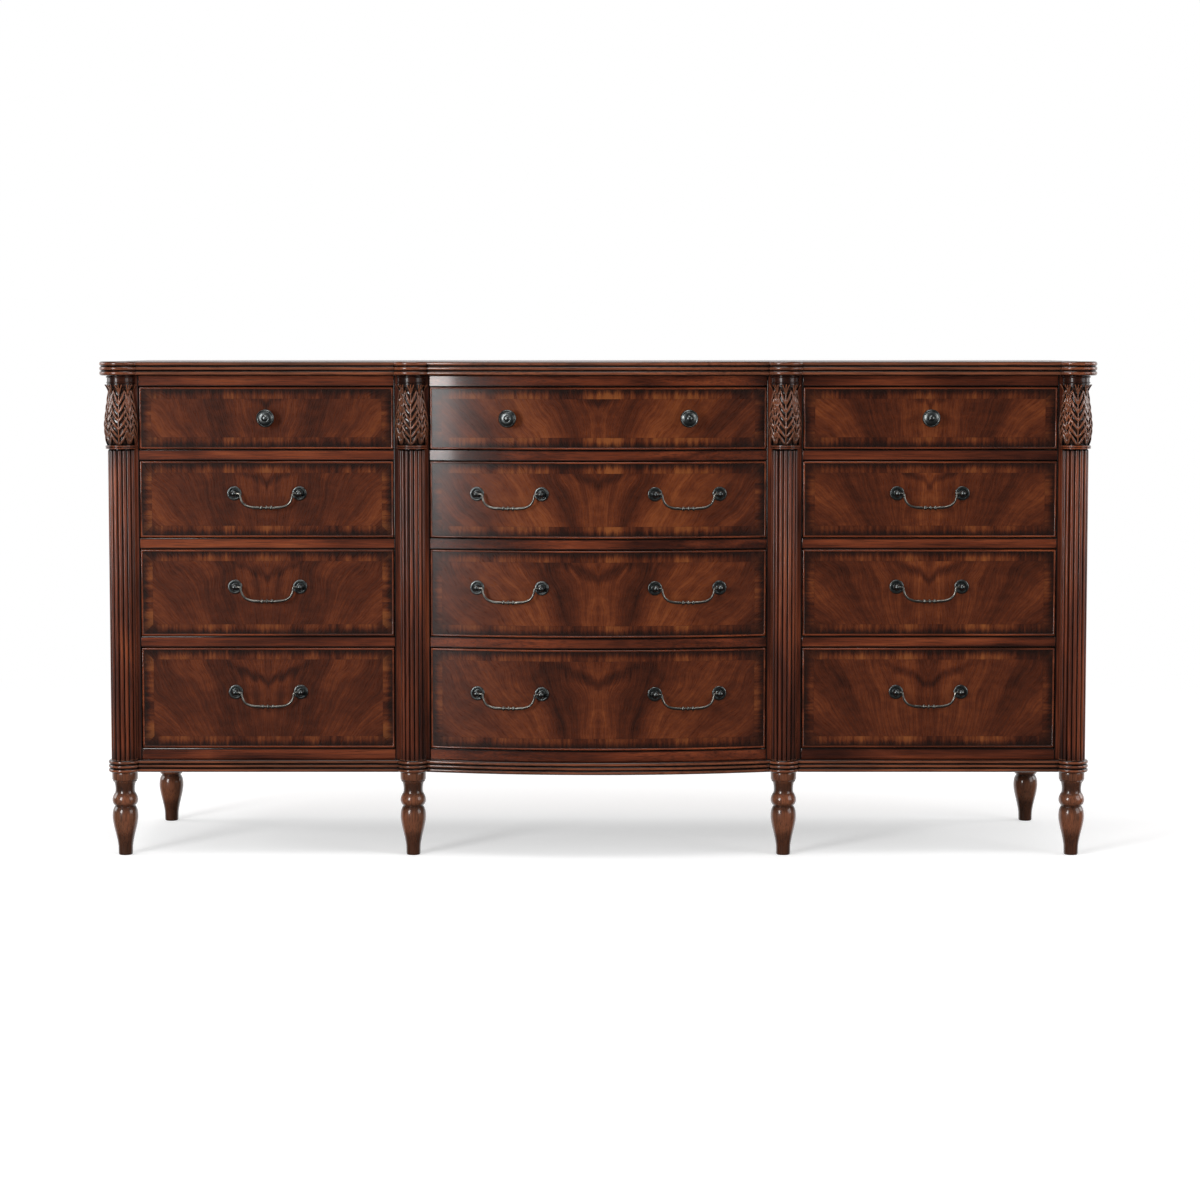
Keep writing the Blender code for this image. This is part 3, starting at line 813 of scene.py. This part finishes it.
def acanthus_leaf(turn, front):
    """The rods of one leaf: the midrib, six pairs of lobes, and a tip that curls out under the neck."""
    sunk = 0.0 if front else 0.0014
    reach = 0.0165 if front else 0.0105
    curl = 0.0068 if front else 0.0044
    paths = [[on_vase(turn, 0, t / 12, 0.0030 - sunk, 0.0015 - 0.0006 * t / 12) for t in range(12)]]
    for i, spread_share in enumerate((0.86, 1.0, 0.98, 0.90, 0.80, 0.68)):
        for side in (-1, 1):
            paths.append(leaf_lobe(turn, side, lobe_step * i, reach * spread_share, sunk))
    for side in (-1, 0, 1):
        tip = []
        for i in range(8):
            t = i / 7
            arc = side * 0.0058 * t**0.8
            tip.append(on_vase(turn, arc, 0.82 + 0.135 * t, 0.0016 + curl * t**2.2, 0.0026 - 0.0016 * t))
        paths.append(tip)
    return paths


def carved_capital():
    """The vase with its leaves, worked over as one surface."""
    rises = [i / 40 for i in range(41)]
    core = [(vase_radius(rise) - leaf_sunk, capital_low + capital_height * rise) for rise in rises]
    vase = turned("vase", core)
    leaves = []
    for i in range(8):
        leaves += acanthus_leaf(i * pi / 4 - pi / 2, i % 2 == 0)
    capital = joined("capital", [vase, rods("leaves", leaves, roundness=2)])
    apply(capital, "REMESH", mode="VOXEL", voxel_size=0.0007)
    apply(capital, "SMOOTH", factor=0.5, iterations=2)
    apply(capital, "DECIMATE", ratio=0.45)
    return capital


def turned_ring(name, core, beads, low, high):
    """A short turned member with (low, high, proud) beads on it, each a half round."""
    outline = [(core, low)]
    for start, end, proud in beads:
        turns = [pi * (i / 6 - 0.5) for i in range(7)]
        outline += [(core + proud * cos(a), (start + end) / 2 + (end - start) / 2 * sin(a)) for a in turns]
    outline.append((core, high))
    return turned(name, outline)


# Painted shade by height: glaze colour near the shaft's foot and under the ring, at the capital's ends, and
# all over the neck
shaft_shade_bands = (
    (column_low.z, 0.60), (column_low.z + 0.030, 0.10), (ring_low - 0.040, 0.05), (ring_low - 0.008, 0.50)
)
capital_shade_bands = ((capital_low, 0.45), (capital_low + 0.025, 0.0), (neck_low - 0.030, 0.0), (neck_low, 0.50))
column_finishes = {
    "shaft": mahogany(
        "shaft_mahogany", 2, glaze_and_hollow_shade=1.0, wear_and_highlight=0.9, tint=0.022, bands=shaft_shade_bands, hollow_depth=0.013, coat=0.32
    ),
    "ring": mahogany("ring_mahogany", 2, glaze_and_hollow_shade=0.95, wear_and_highlight=0.8),
    "capital": mahogany(
        "capital_mahogany", 2, glaze_and_hollow_shade=1.0, wear_and_highlight=1.0, bleach=0.40, bands=capital_shade_bands, hollow_depth=0.017,
        coat=1.0
    ),
    "neck": mahogany("neck_mahogany", 2, glaze_and_hollow_shade=0.95, bands=((0.0, 0.76), (1.0, 0.76)), coat=0.30)
}
shaft = reeded_shaft()
capital = carved_capital()
ring_beads = [(ring_low + 0.0002 + 0.0034 * i, ring_low + 0.0034 * (i + 1), 0.0020) for i in range(2)]
ring = turned_ring("ring", ring_radius, ring_beads, ring_low, capital_low + 0.0004)
neck_beads = [
    (neck_low - 0.0092, neck_low - 0.0058, 0.0018), (neck_low - 0.0034, neck_low - 0.0002, 0.0014),
    (neck_low + 0.0076, neck_low + 0.0114, 0.0020)
]
neck = turned_ring("neck", neck_radius, neck_beads, neck_low - 0.0100, column_high.z)
column_shapes = (shaft, ring, capital, neck)
end_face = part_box("end_panel_right")[1].x
cut_gap = 0.0003
cut_reach = 0.08
cut_low = 0.1
cut_high = 1.1
for side, sign in (("left", -1), ("right", 1)):
    for place in ("inner", "outer"):
        x = sign * column_x[place]
        outer_cut = end_face + cut_gap if place == "outer" else column_x[place] + cut_reach
        low_x, high_x = sorted((x - sign * cut_reach, sign * outer_cut))
        corner_low = (low_x, face_y - cut_gap, cut_low)
        corner_high = (high_x, face_y + cut_reach, cut_high)
        parts = []
        for shape in column_shapes:
            part = copy_of(shape, f"{shape.name}_{place}_{side}", Matrix.Translation((x, face_y, 0)))
            join_to(part, board("corner", corner_low, corner_high, eased=0), "DIFFERENCE", "MANIFOLD")
            give(part, column_finishes[shape.name])
            parts.append(part)
        column = joined(f"reeded_column_{place}_{side}", parts)
        soften(column)
        hand_over(column, f"column_{place}_{side}")
for shape in column_shapes:
    bpy.data.objects.remove(shape)


# The face frames: five rails and two stiles of solid mahogany to a bay, the middle bay's rails sawn to the
# bow, with a dust board behind each rail and a guide at each side of every drawer.
def bow(x):
    """How far the middle bay's face lies in front of the others."""
    return max(0.0, sqrt(bow_radius**2 - x**2) - (bow_radius - bow_rise))


def bend_forward(piece, behind=9.0):
    """Brings all of a piece in front of this depth forward to the bow."""
    for vert in piece.data.vertices:
        if vert.co.y < behind:
            vert.co.y -= bow(vert.co.x)


def opening(bay, row):
    """A drawer's opening in the frame: its left, right, floor and ceiling."""
    low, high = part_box(f"drawer_front_{bay}_{row}")
    return low.x - front_gap, high.x + front_gap, low.z - front_gap, high.z + front_gap


def plain_wood(name, along, light, dark, roughness):
    """A plain sawn and sanded wood, with long pale and dark rings along one axis."""
    finish, place = new_finish(name)
    rings = noise(stretched(place, along, 46.0, 2.2), 4.0, 0.55, 0.8)
    fibres = noise(stretched(place, along, 700.0, 16.0), 3.0)
    tone = tone_mix((rings, 0.7), (fibres, 0.3))
    colour = blend_colours(fade(tone, 0.34, 0.66), dark, light)
    polish(finish, colour, roughness, 0.0, 0.3, raised(fibres, 0.3, 0.0002))
    return finish


dust_board_wood = plain_wood("dust_board_wood", 0, (0.46, 0.30, 0.16), (0.33, 0.20, 0.10), 0.62)
bays = ("left", "centre", "right")
rows = (1, 2, 3, 4)
bay_lengths = {"left": 1, "centre": 48, "right": 1}
rail_tints = {"left": 0.0, "centre": -0.048, "right": -0.034}
# Painted shade: dark lines on the rails and stiles along the gaps round each drawer
opening_heights = [(2, height) for row in rows for height in opening("left", row)[2:]]
opening_sides = [(0, x) for bay in bays for x in opening(bay, 1)[:2]]
stile_mahogany = mahogany("stile_mahogany", 2, gap_shade_lines=opening_sides)
case_low = column_low.z
case_high = column_high.z
frame_back = face_y + 0.020
back_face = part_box("back_panel")[0].y
partition_half = 0.009
end_thickness = 0.018
dust_board_thickness = 0.012
guide_high = 0.018
guide_sunk = 0.0002
guide_gap = 0.0005
inner_x = column_x["inner"]
for bay in bays:
    left, right = opening(bay, 1)[:2]
    floors = [opening(bay, row)[2] for row in reversed(rows)]
    ceilings = [opening(bay, row)[3] for row in reversed(rows)]
    rails = []
    for low_z, high_z in zip([case_low, *ceilings], [*floors, case_high]):
        rail_low, rail_high = (left, face_y, low_z), (right, frame_back, high_z)
        rail = board("rail", rail_low, rail_high, bay_lengths[bay], eased=0.0012)
        if bay == "centre":
            bend_forward(rail, frame_back - 0.005)
        rails.append(rail)
    rail_finish = mahogany(
        f"rail_mahogany_{bay}", 0, tint=rail_tints[bay], gap_shade_lines=opening_heights, gloss=0.12
    )
    rail_set = joined(f"rails_{bay}", rails, rail_finish)
    if bay == "centre":
        outer_x = (-inner_x, inner_x)
        rear_x = (-inner_x + partition_half, inner_x - partition_half)
    else:
        sign = -1 if bay == "left" else 1
        outer_x = sorted((sign * inner_x, sign * end_face))
        rear_x = sorted((sign * (inner_x + partition_half), sign * (end_face - end_thickness)))
    stiles = []
    for low_x, high_x in ((outer_x[0] + cut_gap / 2, left), (right, outer_x[1] - cut_gap / 2)):
        stile_low, stile_high = (low_x, face_y, case_low), (high_x, frame_back, case_high)
        stiles.append(board("stile", stile_low, stile_high, eased=0.0006))
    stile_set = joined(f"stiles_{bay}", stiles, stile_mahogany)
    rear = back_face - cut_gap
    low_x, high_x = rear_x[0] + cut_gap, rear_x[1] - cut_gap
    boards = []
    for floor_z in floors:
        dust_low = (low_x, frame_back, floor_z - dust_board_thickness)
        boards.append(board("dust", dust_low, (high_x, rear, floor_z)))
        for start_x, end_x in ((low_x, left - guide_gap), (right + guide_gap, high_x)):
            guide_low = (start_x, frame_back, floor_z - guide_sunk)
            boards.append(board("guide", guide_low, (end_x, rear, floor_z + guide_high)))
    board_set = joined(f"dust_boards_{bay}", boards, dust_board_wood)
    for piece, slot in ((rail_set, "mahogany"), (stile_set, "mahogany"), (board_set, "drawer_wood")):
        hand_over(piece, f"bay_frame_{bay}")


# The drawer fronts: curved or flat boards faced with matched crotch mahogany veneer inside a border of
# crossbanding, with painted shade along its outer edge, and a thin rounded cockbead let in all round.
front_core = 0.0145
bead_depth = 0.0055
bead_width = 0.0035
bead_proud = 0.0015
bead_inset = {"thickness": bead_width, "use_boundary": True, "use_even_offset": True}
bead_mahogany = mahogany("bead_mahogany", 0, wear_and_highlight=0.6)
drawer_core_wood = plain_wood("drawer_core_wood", 0, (0.20, 0.085, 0.040), (0.12, 0.045, 0.022), 0.5)
veneer_seeds = {"left": 3.1, "centre": 8.4, "right": 13.7}
# The bays' veneers differ in tone, and the right bay's is painted lighter to make up for the dimmer light
# there
veneer_tints_and_light = {"left": -0.012, "centre": 0.0, "right": 0.040}
swag_thicknesses = {"left": 0.014, "centre": 0.018, "right": 0.014}


def upright_grid(low, high, y, lengths):
    """A flat sheet facing the front, in so many lengths, left in edit mode with all of it picked."""
    middle = ((low[0] + high[0]) / 2, y, (low[1] + high[1]) / 2)
    bpy.ops.mesh.primitive_grid_add(x_subdivisions=lengths, y_subdivisions=1, size=1, location=middle)
    return start_shape((high[0] - low[0], high[1] - low[1], 1), (pi / 2, 0, 0))


def draw_forward(depth):
    """Draws what is picked straight towards the front."""
    bpy.ops.mesh.extrude_region_move(TRANSFORM_OT_translate={"value": (0, -depth, 0)})


dovetail_depth = 0.012
dovetail_pitch = 0.036
tail_narrow = 0.30
tail_wide = 0.38
side_board = 0.012
box_drop = 0.010
socket_play = 0.0001
socket_over = 0.0005


def dovetails(x, low_z, high_z, front_y, depth, extra=0):
    """Tails on one side board, wider at their far end, drawn out along y from the board's end."""
    count = max(2, round((high_z - low_z) / dovetail_pitch))
    pitch = (high_z - low_z) / count
    tails = []
    for i in range(count):
        middle_z = low_z + pitch * (i + 0.5)
        across = side_board / 2 + extra
        rise = pitch * tail_narrow + extra
        sheet = upright_grid((x - across, middle_z - rise), (x + across, middle_z + rise), front_y, 1)
        draw_forward(depth)
        spread = (1, 1, tail_wide / tail_narrow)
        bpy.ops.transform.resize(value=spread, center_override=(x, front_y, middle_z))
        finish_shape(sheet, "tail")
        tails.append(sheet)
    return tails


def cut_sockets(piece, middles_x, low_z, high_z, start, depth):
    """Cuts into a piece the sockets that the tails of two side boards fit."""
    sockets = []
    for x in middles_x:
        sockets += dovetails(x, low_z, high_z, start, depth, socket_play)
    join_to(piece, joined("sockets", sockets), "DIFFERENCE")


for bay in bays:
    for row in rows:
        low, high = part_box(f"drawer_front_{bay}_{row}")
        front = upright_grid((low.x, low.z), (high.x, high.z), frame_back, bay_lengths[bay])
        draw_forward(front_core)
        bpy.ops.mesh.inset(**bead_inset)
        draw_forward(bead_depth)
        finish_shape(front, f"front_board_{bay}_{row}")
        middles_x = (low.x + side_board / 2, high.x - side_board / 2)
        socket_depth = dovetail_depth + socket_over
        cut_sockets(front, middles_x, low.z, high.z - box_drop, frame_back + socket_over, socket_depth)
        middle_x = (low.x + high.x) / 2
        half = (high.x - low.x) / 2 - bead_width
        height = high.z - low.z - 2 * bead_width
        veneer = crotch_veneer(
            f"veneer_{bay}_{row}", (0, 2), middle_x, low.z + bead_width, half, height, fan_depth=0.19,
            border=0.0195, seed=veneer_seeds[bay] + 0.16 * row, tint=veneer_tints_and_light[bay],
            swag=(0.32, 0.012 + 0.013 * (row - 1), swag_thicknesses[bay])
        )
        give(front, drawer_core_wood, veneer)
        for face in front.data.polygons:
            face.material_index = 1 if face.normal.y < -0.9 and face.center.y < face_y + 0.001 else 0

        bead = upright_grid((low.x, low.z), (high.x, high.z), face_y + bead_depth, bay_lengths[bay])
        bpy.ops.mesh.inset(**bead_inset)
        bpy.ops.mesh.delete(type="FACE")
        bpy.ops.mesh.select_all(action="SELECT")
        draw_forward(bead_depth + bead_proud)
        finish_shape(bead, f"cockbead_{bay}_{row}")
        ease(bead, bead_proud, 4)
        give(bead, bead_mahogany)
        for piece, slot in ((front, "crotch_mahogany_veneer"), (bead, "mahogany")):
            if bay == "centre":
                bend_forward(piece)
            soften(piece, corner=radians(50))
            hand_over(piece, f"drawer_front_{bay}_{row}", f"drawer_{bay}_{row}")


# The drawer boxes: thin sides of pale wood dovetailed into the front, a back between them, also dovetailed,
# and a thin bottom held in grooves. They are sanded and left bare.
side_wood = plain_wood("drawer_side_wood", 1, (0.60, 0.385, 0.205), (0.46, 0.275, 0.135), 0.6)
cross_wood = plain_wood("drawer_cross_wood", 0, (0.58, 0.365, 0.195), (0.44, 0.265, 0.125), 0.6)
tail_overlap = 0.0002
tail_over = 0.0001
bottom_low = 0.010
bottom_high = 0.016
groove = 0.002
for bay in bays:
    for row in rows:
        low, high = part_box(f"drawer_box_{bay}_{row}")
        start = frame_back + cut_gap
        side_end = high.y - side_board
        middles_x = (low.x + side_board / 2, high.x - side_board / 2)
        sides = []
        for x in middles_x:
            side_low = (x - side_board / 2, start - tail_overlap, low.z)
            sides.append(board("side", side_low, (x + side_board / 2, side_end, high.z), eased=0.0006))
            sides += dovetails(x, low.z, high.z, start, dovetail_depth)
            sides += dovetails(x, low.z, high.z, side_end + tail_overlap, -side_board - tail_over)
        side_set = joined("sides", sides, side_wood)
        back_piece = board("back", (low.x, side_end, low.z), high, eased=0.0006)
        socket_depth = -side_board - 2 * socket_over
        cut_sockets(back_piece, middles_x, low.z, high.z, side_end - socket_over, socket_depth)
        cross_low = (low.x + side_board - groove, start, low.z + bottom_low)
        cross_high = (high.x - side_board + groove, side_end + groove, low.z + bottom_high)
        bottom = board("bottom", cross_low, cross_high, bay_lengths[bay], eased=0)
        cross = joined("cross", [back_piece, bottom], cross_wood)
        box = joined(f"box_{bay}_{row}", [side_set, cross])
        if bay == "centre":
            bend_forward(box, start + 0.002)
        soften(box)
        hand_over(box, f"drawer_box_{bay}_{row}", f"drawer_{bay}_{row}")


# The ends, the two partitions and the back: the ends veneered and crossbanded like the fronts, the partitions
# of pale wood, and the back of thin stained boards laid side by side.
partition_wood = plain_wood("partition_wood", 2, (0.47, 0.31, 0.17), (0.34, 0.21, 0.11), 0.62)
back_wood = plain_wood("stained_back_wood", 2, (0.23, 0.092, 0.044), (0.125, 0.046, 0.021), 0.7)
for side, seed in (("left", 20.0), ("right", 24.0)):
    low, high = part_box("end_panel_" + side)
    end = board(f"veneered_end_{side}", low, high, eased=0.0010)
    end_middle = (low.y + high.y) / 2
    give(end, crotch_veneer(
        f"veneer_end_{side}", (1, 2), end_middle, low.z, high.y - end_middle, high.z - low.z,
        fan_depth=0.45, border=0.045, seed=seed, tint=0.030, swing=0.08
    ))
    hand_over(end, "end_panel_" + side)
    partition = board(f"upright_{side}", *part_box("partition_" + side))
    give(partition, partition_wood)
    hand_over(partition, "partition_" + side)
low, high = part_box("back_panel")
board_count = 12
board_edges = [low.x + (high.x - low.x) * i / board_count for i in range(board_count + 1)]
back_boards = []
for start_x, end_x in zip(board_edges, board_edges[1:]):
    back_boards.append(board("back_board", (start_x, low.y, low.z), (end_x, high.y, high.z), eased=0.0014))
back_set = joined("boarded_back", back_boards, back_wood)
hand_over(back_set, "back_panel")


# The four knobs: turned brass with a stepped face and a small boss, on a short stem with a flange, chemically
# darkened and rubbed back on the high places.
def dark_bronze(name, brightness, warmth=1.0):
    """Metal toned nearly black, greenish and blackened in the hollows with patina and painted shade, and
    paler where hands rub it.
    """
    finish, place = new_finish(name)
    cloud = noise(place, 4.0, 0.6, scale=160.0)
    rubbed = less(1, openness(finish, 0.0016, inside=True))
    tones = ((0.35, (0.085, 0.094, 0.096)), (0.50, (0.130, 0.141, 0.141)), (0.66, (0.185, 0.192, 0.185)))
    brightened = []
    for at, colour in tones:
        brightened.append((at, [brightness * part / warmth**i for i, part in enumerate(colour)]))
    colour = colour_range(cloud, brightened)
    colour = blend_colours(fade(rubbed, 0.15, 0.55, 0.0, 0.7), colour, RUBBED_BRONZE)
    # Patina and painted shade: near black in the hollows, as round the post's ball
    colour = blend_colours(fade(openness(finish, 0.005), 0.45, 0.95, 0.95, 0.0), colour, BLACK_PATINA_AND_SHADE)
    sources = {"Base Color": colour, "Metallic": 1.0, "Roughness": fade(cloud, 0.3, 0.7, 0.44, 0.30)}
    sources["Normal"] = raised(cloud, 0.12, 0.0002)
    feed(finish.node_tree.nodes["Principled BSDF"], sources)
    return finish


RUBBED_BRONZE = (0.34, 0.34, 0.29)
BLACK_PATINA_AND_SHADE = (0.010, 0.012, 0.013)
plate_bronze = dark_bronze("plate_bronze", 1.25)
bail_bronze = dark_bronze("bail_bronze", 2.1, 1.10)
knob_line = [(0.0100, 0.0003), (0.0100, 0.0016), (0.0090, 0.0026)]
knob_stem = ((0.0066, 0.0034), (0.0056, 0.0058), (0.0056, 0.0092), (0.0072, 0.0126), (0.0120, 0.0152))
knob_line += flow(knob_stem, 4)
knob_line += flow(((0.0166, 0.0172), (0.0178, 0.0192), (0.0178, 0.0206), (0.0170, 0.0222)), 4)
knob_line += [(0.0158, 0.0230), (0.0145, 0.0222), (0.0137, 0.0226)]
knob_line += flow(((0.0126, 0.0234), (0.0100, 0.0244), (0.0070, 0.0249)), 4)
knob_line += [(0.0062, 0.0246), (0.0056, 0.0252), (0.0048, 0.0262), (0.0032, 0.0270), (0.0012, 0.0273)]
knob = turned("knob", knob_line, sides=48)
knob.data.transform(Matrix.Rotation(pi / 2, 4, "X"))
give(knob, plate_bronze)
knob_offset = 0.177
knob_turn = asin(knob_offset / bow_radius)
knob_places = (
    ("knob_left", "left", 0.0), ("knob_centre_left", "centre", -knob_turn),
    ("knob_centre_right", "centre", knob_turn), ("knob_right", "right", 0.0)
)
for node, bay, turn in knob_places:
    x, y, z = middle_of(node)
    y = face_y
    if bay == "centre":
        x = bow_radius * sin(turn)
        y = bow_centre[1] - bow_radius * cos(turn)
    pull = copy_of(knob, "turned_" + node, Matrix.Translation((x, y, z)) @ Matrix.Rotation(turn, 4, "Z"))
    hand_over(pull, node, f"drawer_{bay}_1")
bpy.data.objects.remove(knob)


# The bail pulls: a cast rosette and a ball-ended post at each end, bored through its inner side, and between
# them a swinging bail of round rod with three small beads at its middle, its ends turned out as pins.
post_stand = 0.014
post_span = 0.130
ball_radius = 0.006
bore_radius = 0.0025
bore_length = 0.010
bore_start = 0.002
post_line = [(0.0143, -0.0020), (0.0143, 0.0014)]
post_rim = ((0.0141, 0.0020), (0.0134, 0.0026), (0.0120, 0.0029), (0.0104, 0.0027), (0.0094, 0.0019))
post_dish = ((0.0090, 0.0008), (0.0078, 0.0003), (0.0062, 0.0006), (0.0050, 0.0018), (0.0042, 0.0038))
post_line += flow(post_rim, 3) + flow(post_dish, 3)
post_line += [(0.0038, 0.0055), (0.0038, 0.0084)]
ball_turns = [radians(-48 + 11 * i) for i in range(13)]
post_line += [(ball_radius * cos(turn), post_stand + ball_radius * sin(turn)) for turn in ball_turns]
posts = []
for side in (-1, 1):
    post = turned("post", post_line, sides=32)
    bore = turned("bore", [(bore_radius, 0), (bore_radius, bore_length)], sides=20)
    bore.data.transform(Matrix.Translation((0, 0, post_stand)) @ Matrix.Rotation(-side * pi / 2, 4, "Y"))
    bore.data.transform(Matrix.Translation((side * bore_start, 0, 0)))
    join_to(post, bore, "DIFFERENCE")
    post.data.transform(Matrix.Translation((side * post_span / 2, 0, 0)))
    posts.append(post)
post_pair = joined("posts", posts, plate_bronze)
post_pair.data.transform(Matrix.Translation((0, post_stand, 0)) @ Matrix.Rotation(pi / 2, 4, "X"))
soften(post_pair)

pin_radius = 0.0018
pin_end = post_span / 2 + 0.001
bail_drop = 0.0285
beads_start = 0.0145
shoulder = post_span / 2 - 0.0125
bail_points = (
    (shoulder - 0.0002, -0.0030), (0.0510, -0.0098), (0.0474, -0.0176), (0.0408, -0.0236),
    (0.0318, -0.0269), (0.0215, -0.0281), (0.0, -bail_drop)
)
half_bail = [(pin_end, 0, pin_radius), (shoulder + 0.0022, 0, pin_radius)]
half_bail += [(shoulder + 0.0014, -0.0001, 0.0021), (shoulder + 0.0006, -0.0007, 0.0022)]
for x, z in flow(bail_points):
    if x > beads_start:
        half_bail.append((x, z, 0.0022 + 0.0008 * min(1.0, (shoulder - x) / 0.030)))
for middle, half_bead, proud in ((0.0100, 0.0031, 0.0021), (0.0, 0.0023, 0.0023)):
    for k in range(-4, 5):
        turn = pi / 2 * k / 4
        x = middle - half_bead * sin(turn)
        if x >= -MERGE:
            half_bail.append((max(x, 0.0), -bail_drop, 0.0024 + proud * cos(turn)))
other_half = [(-x, z, radius) for x, z, radius in reversed(half_bail) if x > MERGE]
bail_path = [(x, 0, z, radius) for x, z, radius in half_bail + other_half]
bail = rods("bail", [bail_path], roundness=6)
give(bail, bail_bronze)
for joint in frame["joints"]:
    if joint["child"].startswith("bail_"):
        pull, drawer = joint["child"], joint["parent"]
        turn = atan2(-joint["axis"][1], -joint["axis"][0])
        seat = Matrix.Translation(joint["pos_m"]) @ Matrix.Rotation(turn, 4, "Z")
        pair = copy_of(post_pair, pull.replace("bail", "posts"), seat)
        hand_over(pair, drawer.replace("drawer", "drawer_front"), drawer)
        hand_over(copy_of(bail, "swinging_" + pull, seat), pull, pull)
bpy.data.objects.remove(post_pair)
bpy.data.objects.remove(bail)

low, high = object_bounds()
